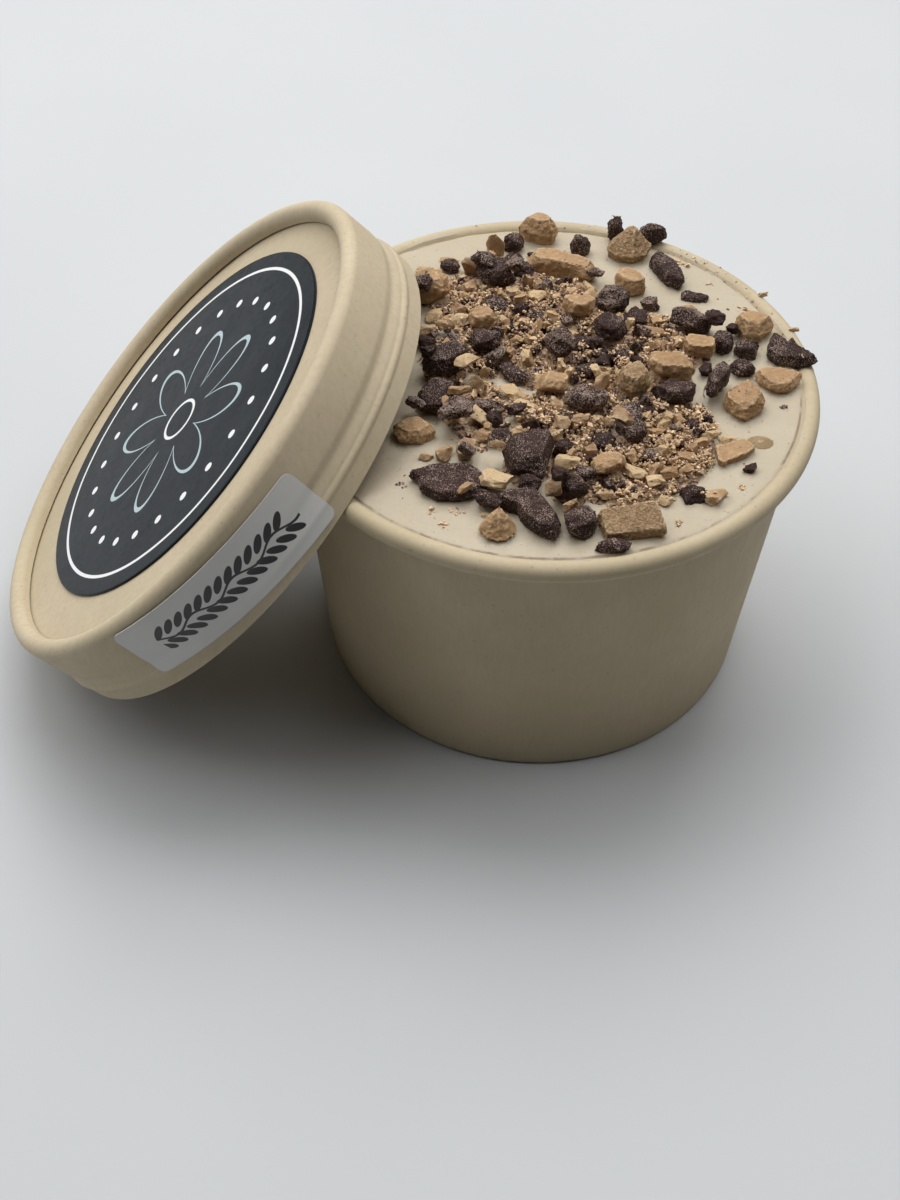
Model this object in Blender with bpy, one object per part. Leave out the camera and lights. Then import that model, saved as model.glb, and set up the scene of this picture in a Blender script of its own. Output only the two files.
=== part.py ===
"""A round paper tub filled level with gelato, with a heap of broken chocolate and peanut butter pieces
on top, and its paper lid leaning on the rim.

Metres, +Z up. The floor is z = 0, +X runs from the lid to the cup, and the origin is on the floor under
the middle of the whole footprint. Places on the cup are measured from the cup's axis, and places on the
lid from the middle of its open edge.
"""
import math
import random

import bmesh
import bpy
from mathutils import Matrix, Vector
from mathutils.bvhtree import BVHTree

MM = 0.001
SEED = 16
SEGMENTS = 48
GAP = 0.3 * MM

# Cup
CUP_AXIS = Vector((32.7 * MM, 2.4 * MM, 0.0))
BASE_RADIUS = 48.5 * MM
NECK_RADIUS = 53.9 * MM
NECK_HEIGHT = 67.0 * MM
RIM_RADIUS = 57.5 * MM
BEAD_RADIUS = 2.1 * MM
BEAD_HEIGHT = 69.2 * MM
WALL = 0.65 * MM
HEM_HEIGHT = 5.5 * MM
FLOOR_HEIGHT = 6.5 * MM
FLOOR_SHEET = 0.5 * MM
SKIRT_FOOT = 1.2 * MM

# Gelato
TOP_HEIGHT = 70.9 * MM
FILL_EDGE = 53.1 * MM
FILL_RINGS = (51.5 * MM, 48.0 * MM, 43.0 * MM, 36.0 * MM, 24.0 * MM)
DIP = 0.5 * MM

# Ripples of the scraped surface: each one's share of the dip, radians per metre along X and Y, and phase
MEAN_DIP = 0.5
RIPPLES = ((0.28, 95.0, 40.0, 0.0), (0.22, -60.0, 130.0, 1.2))

# Heap of small pieces: its low core is an outline round a middle, every 15 degrees from +X
HEAP_MIDDLE = (2.0 * MM, -3.0 * MM)
HEAP_REACH = (
    31, 34, 37, 34, 33, 34, 36, 39, 41, 41, 36, 31,
    29, 28, 26, 26, 30, 34, 35, 38, 38, 40, 37, 34,
)
HEAP_EDGE = 0.9 * MM
HEAP_RISE = 2.0 * MM
HEAP_SHARES = (1.0, 0.85, 0.6, 0.3)

# Its small pieces: how many, the first and the last one's size, how far apart they stand and how deep
# they sink as shares of their size, and their greatest tilt
SMALL_PIECES = 125
SMALL_SIZES = (6.0 * MM, 2.8 * MM)
SMALL_TRIES = 9000
SMALL_SPREAD = 1.02
SMALL_SPACING = 0.45
SMALL_SUNK = 0.35
SMALL_TILT = 28.0
SMALL_RINGS = ((0.0, 1.0), (1.0, 0.6))

# Lid, a tray turned over: band, rolled top edge and sunk panel
LID_PLACE = (-67.6 * MM, -2.7 * MM)
LID_TILT = math.radians(45.4)
LID_BEARING = math.radians(-176.9)
LID_RADIUS = 59.0 * MM
LID_SHEET = 0.9 * MM
LID_HEIGHT = 19.6 * MM
ROLL_RADIUS = 2.2 * MM
ROLL_AXIS_RADIUS = 56.6 * MM
PANEL_HEIGHT = 15.9 * MM
PANEL_SHEET = 0.6 * MM
FLANGE_HEIGHT = 17.2 * MM
BAND_STEPS = ((0.0, 0.0), (3.4, 0.0), (4.3, 0.3), (5.4, -0.1), (7.8, -0.55), (9.8, -0.2), (13.0, -0.2))

# Round sticker on the panel, and the long label on the band
STICKER_RADIUS = 44.8 * MM
STICKER_PLACE = (2.6 * MM, 0.5 * MM)
STICKER_SHEET = 0.25 * MM
LABEL_LENGTH = 51.0 * MM
LABEL_WIDTH = 13.6 * MM
LABEL_CORNER = 1.8 * MM
LABEL_BEARING = math.radians(198.0)
LABEL_HEIGHT = 9.5 * MM
LABEL_SLANT = math.radians(-3.2)
LABEL_SHEET = 0.2 * MM
LABEL_COLUMNS = 12
LABEL_ROWS = 7

# Pieces as large as berries, in millimetres on the cup: x, y, width, depth, height, turn in degrees,
# and the top's share of the widest girth
PEANUT_BUTTER = (
    (-4.0, 49.8, 9.2, 6.5, 6.2, 10, 0.55), (17.2, 44.4, 10.0, 8.0, 6.5, 20, 0.55),
    (1.2, 36.6, 17.0, 7.0, 4.8, -20, 0.8), (17.3, 31.3, 6.8, 5.5, 5.0, 5, 0.8),
    (44.3, 18.6, 8.8, 7.0, 5.0, 15, 0.7), (32.4, 10.0, 6.8, 4.8, 3.0, 10, 0.85),
    (25.8, 1.0, 10.2, 7.4, 4.2, 0, 0.8), (18.0, -5.2, 7.8, 6.8, 5.0, 30, 0.7),
    (48.6, 1.2, 10.0, 6.2, 3.2, -10, 0.85), (41.3, -7.0, 9.6, 8.8, 4.6, 60, 0.8),
    (-25.6, -21.3, 8.8, 6.8, 3.8, 0, 0.75), (-6.5, -47.2, 7.2, 6.4, 5.6, 0, 0.4),
    (18.4, -44.3, 13.2, 8.0, 4.6, 16, 0.95), (38.0, -22.0, 8.6, 7.5, 2.2, 30, 0.9),
    (-25.6, 24.0, 7.6, 7.6, 4.8, 0, 0.7), (7.4, 20.0, 6.8, 5.6, 3.6, 15, 0.8),
    (1.4, -7.8, 7.0, 5.5, 3.8, 0, 0.7), (-14.4, 13.0, 6.0, 5.2, 3.4, 0, 0.8),
    (13.4, -30.2, 7.0, 5.6, 3.4, 0, 0.7),
)
CHOCOLATE = (
    (14.0, 51.2, 4.0, 3.5, 6.0, 0, 0.6), (21.6, 50.0, 7.0, 3.4, 4.8, 10, 0.7),
    (6.0, 44.6, 4.9, 4.0, 5.2, 0, 0.6), (25.6, 37.9, 12.8, 5.0, 3.6, -60, 0.8),
    (31.8, 29.6, 6.2, 3.5, 1.6, -8, 0.8), (52.0, 10.9, 11.0, 7.8, 3.2, -20, 0.85),
    (37.3, 12.8, 5.2, 6.0, 4.0, 0, 0.7), (42.4, 10.9, 5.8, 4.5, 3.6, 20, 0.8),
    (41.2, 3.9, 5.8, 4.4, 3.2, 0, 0.8), (36.2, -4.0, 4.8, 9.0, 3.2, -15, 0.8),
    (30.0, 17.6, 9.8, 7.5, 3.6, 0, 0.8), (13.3, 22.4, 7.5, 6.0, 4.6, 0, 0.75),
    (-20.8, -0.8, 10.4, 8.0, 4.0, 10, 0.8), (-12.8, 4.8, 6.2, 5.5, 4.0, 0, 0.8),
    (-22.2, -11.6, 8.5, 8.2, 3.6, 0, 0.75), (-17.2, -35.9, 16.0, 9.6, 3.2, 5, 0.85),
    (-2.4, -28.8, 10.4, 12.0, 5.0, 0, 0.7), (-1.6, -43.2, 18.0, 6.4, 4.2, -44, 0.8),
    (9.9, -45.0, 6.2, 8.0, 4.0, 10, 0.8), (14.8, -50.0, 7.0, 2.6, 2.0, 5, 0.8),
    (-12.4, 30.0, 9.4, 8.0, 4.4, 0, 0.8), (-8.6, 45.2, 5.0, 4.5, 3.8, 0, 0.7),
    (-23.0, 35.2, 4.6, 3.6, 3.0, 0, 0.7), (13.2, 11.6, 7.4, 7.0, 4.0, 0, 0.8),
    (2.6, 5.2, 6.8, 6.5, 4.4, 0, 0.75), (8.8, -11.6, 9.2, 6.4, 3.6, 0, 0.8),
    (17.8, -20.2, 6.5, 6.0, 3.6, 0, 0.8), (6.2, -36.4, 7.4, 6.0, 4.0, 0, 0.75),
    (25.0, -7.0, 9.0, 5.0, 3.2, 10, 0.8),
)

# Rings of a large piece, as shares of its height and girth: its foot and its widest place
FOOT_RING = (0.0, 0.86)
WIDE_RING = (0.45, 1.0)

# How uneven a broken piece's corners are, as shares of its corner step, girth and height
CORNER_PLAY = 0.25
CORNER_TWIST = 0.5
GIRTH_PLAY = (0.86, 1.08)
RISE_PLAY = 0.14

# Crumbs stuck in the bare gelato, in millimetres on the cup: x, y, width, depth
CRUMBS = (
    (44.2, -16.8, 6.0, 4.4), (28.4, 42.4, 2.6, 2.2), (-20.2, -43.0, 2.2, 1.6), (-15.4, -42.2, 2.4, 1.4),
    (27.0, -41.2, 1.6, 2.0), (42.6, 26.8, 1.8, 1.6), (49.4, -5.6, 1.6, 1.4), (40.0, -30.2, 1.8, 1.4),
    (35.4, 35.4, 1.6, 1.4), (-26.8, -35.6, 2.2, 1.2), (-17.8, -46.0, 1.6, 1.2), (33.0, -34.8, 1.8, 1.5),
)
CRUMB_RISE = 0.55 * MM
CRUMB_SIDES = 6
CRUMB_TOP = 0.68
CRUMB_TURN = 900.0

# How a large piece finds its rest: the steps in which it is lifted clear and let down again, how far it
# may slide, what a slide costs against height, and how far out it feels the slope
LIFT_STEP = 0.3 * MM
SINK_STEP = 0.05 * MM
SLIDES = (0.0, 0.7 * MM, 1.4 * MM)
SLIDE_COST = 0.5
SLIDE_DIRECTIONS = 8
SLOPE_REACH = 2.5 * MM


def clear_scene():
    for thing in list(bpy.data.objects):
        bpy.data.objects.remove(thing, do_unlink=True)


def finish(name, colour, roughness):
    """A plain dielectric material in one colour."""
    material = bpy.data.materials.new(name)
    material.use_nodes = True
    shader = material.node_tree.nodes["Principled BSDF"]
    shader.inputs["Base Color"].default_value = (*colour, 1.0)
    shader.inputs["Roughness"].default_value = roughness
    shader.inputs["Metallic"].default_value = 0.0
    return material


def add_object(name, bm, material, parent=None):
    """Closes a bmesh into a named object, with its faces pointing out."""
    bmesh.ops.recalc_face_normals(bm, faces=bm.faces)
    mesh = bpy.data.meshes.new(name)
    bm.to_mesh(mesh)
    bm.free()
    mesh.materials.append(material)
    thing = bpy.data.objects.new(name, mesh)
    bpy.context.scene.collection.objects.link(thing)
    thing.parent = parent
    return thing


def round_off(thing, angle):
    """Shades an object smooth, apart from edges sharper than the angle in degrees."""
    thing.data.shade_smooth()
    thing.data.set_sharp_from_angle(angle=math.radians(angle))


def empty(name, matrix):
    """An empty that places its children."""
    holder = bpy.data.objects.new(name, None)
    bpy.context.scene.collection.objects.link(holder)
    holder.matrix_world = matrix
    return holder


def arc(middle, radius, start, end, steps):
    """Points on an arc in a (radius, height) plane, with the angles in degrees."""
    points = []
    for k in range(steps + 1):
        angle = math.radians(start + (end - start) * k / steps)
        points.append((middle[0] + radius * math.cos(angle), middle[1] + radius * math.sin(angle)))
    return points


def sheet_outline(path, thickness):
    """The closed outline of a sheet of even thickness that follows a path, with mitred corners."""
    sides = ([], [])
    for k, point in enumerate(path):
        here = Vector(point)
        before = (here - Vector(path[k - 1])).normalized() if k else None
        after = (Vector(path[k + 1]) - here).normalized() if k + 1 < len(path) else None
        before = before or after
        after = after or before
        normal = Vector((-before.y, before.x))
        mitre = (normal + Vector((-after.y, after.x))).normalized()
        reach = thickness / 2 / max(mitre.dot(normal), 0.5)
        sides[0].append(tuple(here + mitre * reach))
        sides[1].append(tuple(here - mitre * reach))
    return sides[0] + sides[1][::-1]


def turned(outline, closed):
    """Turns an outline of (radius, height) points round the Z axis.

    A closed outline keeps clear of the axis. An open one starts and ends on it.
    """
    bm = bmesh.new()
    rings = []
    for radius, height in outline:
        if radius <= 0:
            rings.append([bm.verts.new((0, 0, height))])
            continue
        ring = []
        for k in range(SEGMENTS):
            angle = 2 * math.pi * k / SEGMENTS
            ring.append(bm.verts.new((radius * math.cos(angle), radius * math.sin(angle), height)))
        rings.append(ring)
    pairs = list(zip(rings, rings[1:]))
    if closed:
        pairs.append((rings[-1], rings[0]))
    for low, high in pairs:
        for k in range(SEGMENTS):
            n = (k + 1) % SEGMENTS
            if len(low) == 1:
                bm.faces.new((low[0], high[k], high[n]))
            elif len(high) == 1:
                bm.faces.new((low[k], low[n], high[0]))
            else:
                bm.faces.new((low[k], low[n], high[n], high[k]))
    return bm


def wall_line(height):
    """Radius of the middle of the cup's wall sheet at a height."""
    share = height / NECK_HEIGHT
    return BASE_RADIUS + (NECK_RADIUS - BASE_RADIUS) * share - WALL / 2


def cup_wall(parent, material):
    """The tub's side: hem folded up inside the foot, tapered wall, and rim rolled outward."""
    fold = WALL + FLOOR_SHEET + 2 * GAP
    bead_axis = (RIM_RADIUS - BEAD_RADIUS, BEAD_HEIGHT)
    path = [
        (wall_line(HEM_HEIGHT) - fold, HEM_HEIGHT),
        (wall_line(WALL / 2) - fold, WALL / 2),
        (wall_line(WALL / 2), WALL / 2),
        (wall_line(NECK_HEIGHT), NECK_HEIGHT),
    ]
    path += arc(bead_axis, BEAD_RADIUS - WALL / 2, 180, -115, 8)
    wall = add_object("cup_wall", turned(sheet_outline(path, WALL), True), material, parent)
    round_off(wall, 50)
    return wall


def cup_base(parent, material):
    """The tub's floor: a disc whose skirt stands between the wall and the hem."""
    top = FLOOR_HEIGHT + FLOOR_SHEET / 2
    under = FLOOR_HEIGHT - FLOOR_SHEET / 2
    inset = WALL / 2 + GAP
    outline = [
        (0, top),
        (wall_line(top) - inset, top),
        (wall_line(SKIRT_FOOT) - inset, SKIRT_FOOT),
        (wall_line(SKIRT_FOOT) - inset - FLOOR_SHEET, SKIRT_FOOT),
        (wall_line(under) - inset - FLOOR_SHEET, under),
        (0, under),
    ]
    base = add_object("cup_base", turned(outline, False), material, parent)
    round_off(base, 40)
    return base


def scraped_dip(x, y):
    """How far the scraped gelato lies below its highest level at a place."""
    waves = [share * math.sin(kx * x + ky * y + phase) for share, kx, ky, phase in RIPPLES]
    return DIP * (MEAN_DIP + sum(waves))


def crumb(x, y, width, depth):
    """A crumb sunk in the gelato: a low six-sided dome, in metres on the cup."""
    bm = bmesh.new()
    bmesh.ops.create_cone(
        bm, cap_ends=True, segments=CRUMB_SIDES, radius1=0.5, radius2=0.5 * CRUMB_TOP, depth=1.0
    )
    level = TOP_HEIGHT - scraped_dip(x, y)
    place = Matrix.Translation((x, y, level)) @ Matrix.Rotation(x * CRUMB_TURN, 4, "Z")
    bm.transform(place @ Matrix.Diagonal((width, depth, 2 * CRUMB_RISE, 1)))
    return bm


def join(thing, parts, material, solver):
    """Joins closed meshes to an object in one Boolean union, and drops the loose pieces."""
    group = bpy.data.collections.new(thing.name + "_parts")
    bpy.context.scene.collection.children.link(group)
    for k, bm in enumerate(parts):
        piece = add_object("%s_part_%03d" % (thing.name, k), bm, material)
        bpy.context.scene.collection.objects.unlink(piece)
        group.objects.link(piece)
        piece.matrix_world = thing.matrix_world
    union = thing.modifiers.new("Union", "BOOLEAN")
    union.operation = "UNION"
    union.operand_type = "COLLECTION"
    union.collection = group
    union.solver = solver
    bpy.context.view_layer.update()
    graph = bpy.context.evaluated_depsgraph_get()
    joined = bpy.data.meshes.new_from_object(thing.evaluated_get(graph), depsgraph=graph)
    thing.modifiers.clear()
    thing.data = joined
    for piece in list(group.objects):
        bpy.data.objects.remove(piece, do_unlink=True)
    bpy.data.collections.remove(group)


def gelato(parent, material):
    """The gelato: a plug that fills the tub, scraped level with the rim, with crumbs stuck in it."""
    foot = FLOOR_HEIGHT + FLOOR_SHEET / 2 + GAP
    inset = WALL / 2 + GAP
    outline = [
        (0, foot),
        (wall_line(foot) - inset, foot),
        (wall_line(NECK_HEIGHT) - inset, NECK_HEIGHT),
        (FILL_EDGE - 0.4 * MM, BEAD_HEIGHT),
        (FILL_EDGE, TOP_HEIGHT - DIP),
    ]
    outline += [(radius, TOP_HEIGHT) for radius in FILL_RINGS]
    outline.append((0, TOP_HEIGHT))
    bm = turned(outline, False)
    for vert in bm.verts:
        if vert.co.z > TOP_HEIGHT - DIP / 2:
            vert.co.z -= scraped_dip(vert.co.x, vert.co.y)
    plug = add_object("gelato", bm, material, parent)
    bpy.context.view_layer.update()
    join(plug, [crumb(*(value * MM for value in row)) for row in CRUMBS], material, "EXACT")
    return plug


def heap_reach(angle):
    """The heap's reach from its middle in a direction, smooth between the given ones."""
    step = 2 * math.pi / len(HEAP_REACH)
    place = (angle / step) % len(HEAP_REACH)
    low = int(place)
    share = place - low
    share = share * share * (3 - 2 * share)
    return MM * ((1 - share) * HEAP_REACH[low] + share * HEAP_REACH[(low + 1) % len(HEAP_REACH)])


def heap_height(x, y):
    """Height of the core's top above the gelato's level at a place, or None beyond its edge."""
    dx, dy = x - HEAP_MIDDLE[0], y - HEAP_MIDDLE[1]
    share = math.hypot(dx, dy) / heap_reach(math.atan2(dy, dx))
    if share > 1:
        return None
    return GAP + HEAP_EDGE + HEAP_RISE * (1 - share ** 3)


def heap_core(parent, material):
    """The heap's low core, flat beneath and rounded on top."""
    bm = bmesh.new()
    rings = []
    for level, share in [(0, 1.0)] + [(1, share) for share in HEAP_SHARES]:
        ring = []
        for k in range(SEGMENTS):
            angle = 2 * math.pi * k / SEGMENTS
            reach = heap_reach(angle) * share
            x = HEAP_MIDDLE[0] + reach * math.cos(angle)
            y = HEAP_MIDDLE[1] + reach * math.sin(angle)
            rise = GAP + level * (HEAP_EDGE + HEAP_RISE * (1 - share ** 3))
            ring.append(bm.verts.new((x, y, TOP_HEIGHT + rise)))
        rings.append(ring)
    for low, high in zip(rings, rings[1:]):
        for k in range(SEGMENTS):
            n = (k + 1) % SEGMENTS
            bm.faces.new((low[k], low[n], high[n], high[k]))
    bm.faces.new(rings[0][::-1])
    top = bm.verts.new((*HEAP_MIDDLE, TOP_HEIGHT + GAP + HEAP_EDGE + HEAP_RISE))
    for k in range(SEGMENTS):
        bm.faces.new((rings[-1][k], rings[-1][(k + 1) % SEGMENTS], top))
    return add_object("topping_heap", bm, material, parent)


def broken_piece(size, rings, corners, rng):
    """An angular lump of a given width, depth and height with its foot at z = 0.

    It is the hull of uneven rings of points, each given as its share of the height and of the girth.
    """
    start = rng.random() * 2 * math.pi
    bm = bmesh.new()
    for share, girth in rings:
        for k in range(corners):
            step = k + rng.uniform(-CORNER_PLAY, CORNER_PLAY) + CORNER_TWIST * share
            angle = start + 2 * math.pi * step / corners
            reach = girth * rng.uniform(*GIRTH_PLAY)
            lift = share + (rng.uniform(-RISE_PLAY, 0.0) if share else 0.0)
            bm.verts.new((reach * math.cos(angle), reach * math.sin(angle), lift))
    hull = bmesh.ops.convex_hull(bm, input=bm.verts)
    inner = set(hull["geom_interior"]) | set(hull["geom_unused"])
    bmesh.ops.delete(bm, geom=[v for v in inner if isinstance(v, bmesh.types.BMVert)], context="VERTS")
    low = [min(vert.co[axis] for vert in bm.verts) for axis in range(3)]
    high = [max(vert.co[axis] for vert in bm.verts) for axis in range(3)]
    middle = Vector(((low[0] + high[0]) / 2, (low[1] + high[1]) / 2, low[2]))
    scale = Matrix.Diagonal([side / (b - a) for side, a, b in zip(size, low, high)] + [1])
    bm.transform(scale @ Matrix.Translation(-middle))
    bmesh.ops.recalc_face_normals(bm, faces=bm.faces)
    return bm


def tree_of(bm, matrix, swell=0.0):
    """A search tree of a bmesh under a matrix, swollen along its normals."""
    bm.normal_update()
    bm.verts.index_update()
    points = [matrix @ (vert.co + vert.normal * swell) for vert in bm.verts]
    return BVHTree.FromPolygons(points, [[vert.index for vert in face.verts] for face in bm.faces])


def object_tree(thing):
    """A search tree of an object's mesh in its own frame on the cup."""
    bm = bmesh.new()
    bm.from_mesh(thing.data)
    tree = tree_of(bm, thing.matrix_local)
    bm.free()
    return tree


def ground_slope(x, y, reach, ground):
    """The turn that lays a flat foot on the ground round a place."""
    heights = []
    for dx, dy in ((reach, 0), (-reach, 0), (0, reach), (0, -reach)):
        tops = []
        for tree in ground:
            hit = tree.ray_cast(Vector((x + dx, y + dy, 2 * TOP_HEIGHT)), Vector((0, 0, -1)))
            if hit[0]:
                tops.append(hit[0].z)
        heights.append(max(tops, default=TOP_HEIGHT))
    slope = Vector((heights[1] - heights[0], heights[3] - heights[2], 2 * reach)).normalized()
    return Vector((0, 0, 1)).rotation_difference(slope).to_matrix().to_4x4()


def rest_height(bm, x, y, turn, obstacles):
    """The lowest height at which a piece is clear of everything: it is lifted, and then let sink."""
    def blocked(height):
        body = tree_of(bm, Matrix.Translation((x, y, height)) @ turn, 1.3 * GAP)
        return any(body.overlap(tree) for tree in obstacles)

    height = TOP_HEIGHT
    while blocked(height):
        height += LIFT_STEP
    while height > TOP_HEIGHT and not blocked(height - SINK_STEP):
        height -= SINK_STEP
    return height


def settle(bm, x, y, turn, ground, obstacles):
    """Lets a piece sink to its lowest rest within a short way of its place, and returns its matrix."""
    best = None
    for slide in SLIDES:
        for k in range(SLIDE_DIRECTIONS if slide else 1):
            angle = 2 * math.pi * k / SLIDE_DIRECTIONS
            px = x + slide * math.cos(angle)
            py = y + slide * math.sin(angle)
            lie = ground_slope(px, py, SLOPE_REACH, ground) @ turn
            height = rest_height(bm, px, py, lie, obstacles)
            cost = height + SLIDE_COST * slide
            if best is None or cost < best[0]:
                best = (cost, Matrix.Translation((px, py, height)) @ lie)
    return best[1]


def large_pieces(parent, fixed, ground, finishes, rng):
    """The pieces as large as berries, the biggest first, each resting on what lies below it."""
    rows = []
    for kind, table in (("peanut_chunk", PEANUT_BUTTER), ("chocolate_chunk", CHOCOLATE)):
        for k, row in enumerate(table):
            rows.append((row[2] * row[3] * row[4], "%s_%02d" % (kind, k + 1), kind, row))
    trees = []
    for _, name, kind, row in sorted(rows, reverse=True):
        x, y, width, depth, height = (value * MM for value in row[:5])
        rings = (FOOT_RING, WIDE_RING, (1.0, row[6]))
        bm = broken_piece((width, depth, height), rings, rng.choice((5, 6)), rng)
        turn = Matrix.Rotation(math.radians(row[5]), 4, "Z")
        place = settle(bm, x, y, turn, ground, fixed + trees)
        trees.append(tree_of(bm, place))
        piece = add_object(name, bm, finishes[kind], parent)
        piece.matrix_local = place
    return trees


def small_pieces(core_tree, obstacles, rng):
    """Small broken pieces spread over the heap, the biggest first and clear of everything else."""
    placed = []
    parts = []
    tries = 0
    while len(parts) < SMALL_PIECES and tries < SMALL_TRIES:
        tries += 1
        share = len(parts) / SMALL_PIECES
        size = SMALL_SIZES[0] + (SMALL_SIZES[1] - SMALL_SIZES[0]) * share
        angle = rng.random() * 2 * math.pi
        reach = heap_reach(angle) * math.sqrt(rng.random()) * SMALL_SPREAD
        x = HEAP_MIDDLE[0] + reach * math.cos(angle)
        y = HEAP_MIDDLE[1] + reach * math.sin(angle)
        rise = heap_height(x, y)
        near = any(math.hypot(x - px, y - py) < SMALL_SPACING * (size + other) for px, py, other in placed)
        if rise is None or near:
            continue
        shape = (size, size * rng.uniform(0.6, 0.95), size * rng.uniform(0.6, 0.85))
        bm = broken_piece(shape, SMALL_RINGS, 4, rng)
        turn = Matrix.Rotation(rng.random() * 2 * math.pi, 4, "Z")
        turn = turn @ Matrix.Rotation(math.radians(rng.uniform(-SMALL_TILT, SMALL_TILT)), 4, "X")
        lowest = min((turn @ vert.co).z for vert in bm.verts)
        foot = max(rise - SMALL_SUNK * size, 1.2 * GAP)
        place = Matrix.Translation((x, y, TOP_HEIGHT + foot - lowest)) @ turn
        body = tree_of(bm, place, 1.4 * GAP)
        if any(body.overlap(tree) for tree in obstacles) or not tree_of(bm, place).overlap(core_tree):
            bm.free()
            continue
        bm.transform(place)
        placed.append((x, y, size))
        parts.append(bm)
    return parts


def lid_frame(cup):
    """The empty that the lid's parts hang on: its origin is the middle of the lid's open edge."""
    drop = LID_RADIUS * math.sin(LID_TILT)
    place = Matrix.Translation((LID_PLACE[0], LID_PLACE[1], drop))
    turn = Matrix.Rotation(LID_BEARING, 4, "Z") @ Matrix.Rotation(LID_TILT, 4, "Y")
    return empty("lid_frame", cup.matrix_world @ place @ turn @ Matrix.Rotation(-math.pi / 2, 4, "Z"))


def band_radius(height):
    """The band's outer radius at a height, with its ridge and groove."""
    steps = BAND_STEPS
    level = height / MM
    for (low, out_low), (high, out_high) in zip(steps, steps[1:]):
        if level <= high:
            return LID_RADIUS + MM * (out_low + (out_high - out_low) * (level - low) / (high - low))
    return LID_RADIUS + MM * steps[-1][1]


def lid_band(parent, material):
    """The lid's side: plain hem, ridge, groove, and its top edge rolled in over the panel."""
    path = [(LID_RADIUS + MM * out - LID_SHEET / 2, MM * height) for height, out in BAND_STEPS]
    roll_axis = (ROLL_AXIS_RADIUS, LID_HEIGHT - ROLL_RADIUS)
    path += arc(roll_axis, ROLL_RADIUS - LID_SHEET / 2, 0, 180, 6)
    path.append((ROLL_AXIS_RADIUS - ROLL_RADIUS + LID_SHEET / 2, PANEL_HEIGHT + 1.4 * GAP))
    band = add_object("lid_band", turned(sheet_outline(path, LID_SHEET), True), material, parent)
    round_off(band, 50)
    return band


def lid_panel(parent, material):
    """The lid's sunk disc, with a flange that stands inside the rolled edge."""
    outer = ROLL_AXIS_RADIUS + ROLL_RADIUS - LID_SHEET - GAP
    outline = [
        (0, PANEL_HEIGHT),
        (outer - PANEL_SHEET, PANEL_HEIGHT),
        (outer - PANEL_SHEET, FLANGE_HEIGHT),
        (outer, FLANGE_HEIGHT),
        (outer, PANEL_HEIGHT - PANEL_SHEET),
        (0, PANEL_HEIGHT - PANEL_SHEET),
    ]
    panel = add_object("lid_panel", turned(outline, False), material, parent)
    round_off(panel, 40)
    return panel


def lid_sticker(parent, material):
    """The round sticker on the panel, set off its middle."""
    foot = PANEL_HEIGHT + GAP
    top = foot + STICKER_SHEET
    outline = [(0, foot), (STICKER_RADIUS, foot), (STICKER_RADIUS, top), (0, top)]
    sticker = add_object("lid_sticker", turned(outline, False), material, parent)
    sticker.location = (*STICKER_PLACE, 0)
    return sticker


def label_columns():
    """Places of the label's columns along its length, closer at its rounded ends."""
    half = LABEL_LENGTH / 2
    ends = [-half, -half + 0.3 * LABEL_CORNER, -half + LABEL_CORNER]
    inner = half - LABEL_CORNER
    between = [inner * (2 * k / LABEL_COLUMNS - 1) for k in range(1, LABEL_COLUMNS)]
    return ends + between + [-value for value in reversed(ends)]


def label_half_width(along):
    """Half of the label's width at a place along it, less near its rounded ends."""
    over = max(0.0, abs(along) - (LABEL_LENGTH / 2 - LABEL_CORNER))
    return LABEL_WIDTH / 2 - LABEL_CORNER + math.sqrt(max(LABEL_CORNER ** 2 - over ** 2, 0))


def flavour_label(parent, material):
    """The long label on the band, bent round it and laid over its ridge and groove."""
    bm = bmesh.new()
    layers = []
    for lift in (GAP, GAP + LABEL_SHEET):
        grid = []
        for along in label_columns():
            column = []
            for k in range(LABEL_ROWS + 1):
                across = label_half_width(along) * (2 * k / LABEL_ROWS - 1)
                height = LABEL_HEIGHT + along * math.sin(LABEL_SLANT) + across * math.cos(LABEL_SLANT)
                run = along * math.cos(LABEL_SLANT) - across * math.sin(LABEL_SLANT)
                radius = band_radius(height) + 1.3 * lift
                angle = LABEL_BEARING + run / LID_RADIUS
                column.append(bm.verts.new((radius * math.cos(angle), radius * math.sin(angle), height)))
            grid.append(column)
        layers.append(grid)
    inner, outer = layers
    last = len(inner) - 1
    for c in range(last):
        for r in range(LABEL_ROWS):
            for grid in layers:
                bm.faces.new((grid[c][r], grid[c + 1][r], grid[c + 1][r + 1], grid[c][r + 1]))
        for r in (0, LABEL_ROWS):
            bm.faces.new((inner[c][r], inner[c + 1][r], outer[c + 1][r], outer[c][r]))
    for c in (0, last):
        for r in range(LABEL_ROWS):
            bm.faces.new((inner[c][r], inner[c][r + 1], outer[c][r + 1], outer[c][r]))
    return add_object("flavour_label", bm, material, parent)


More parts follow.
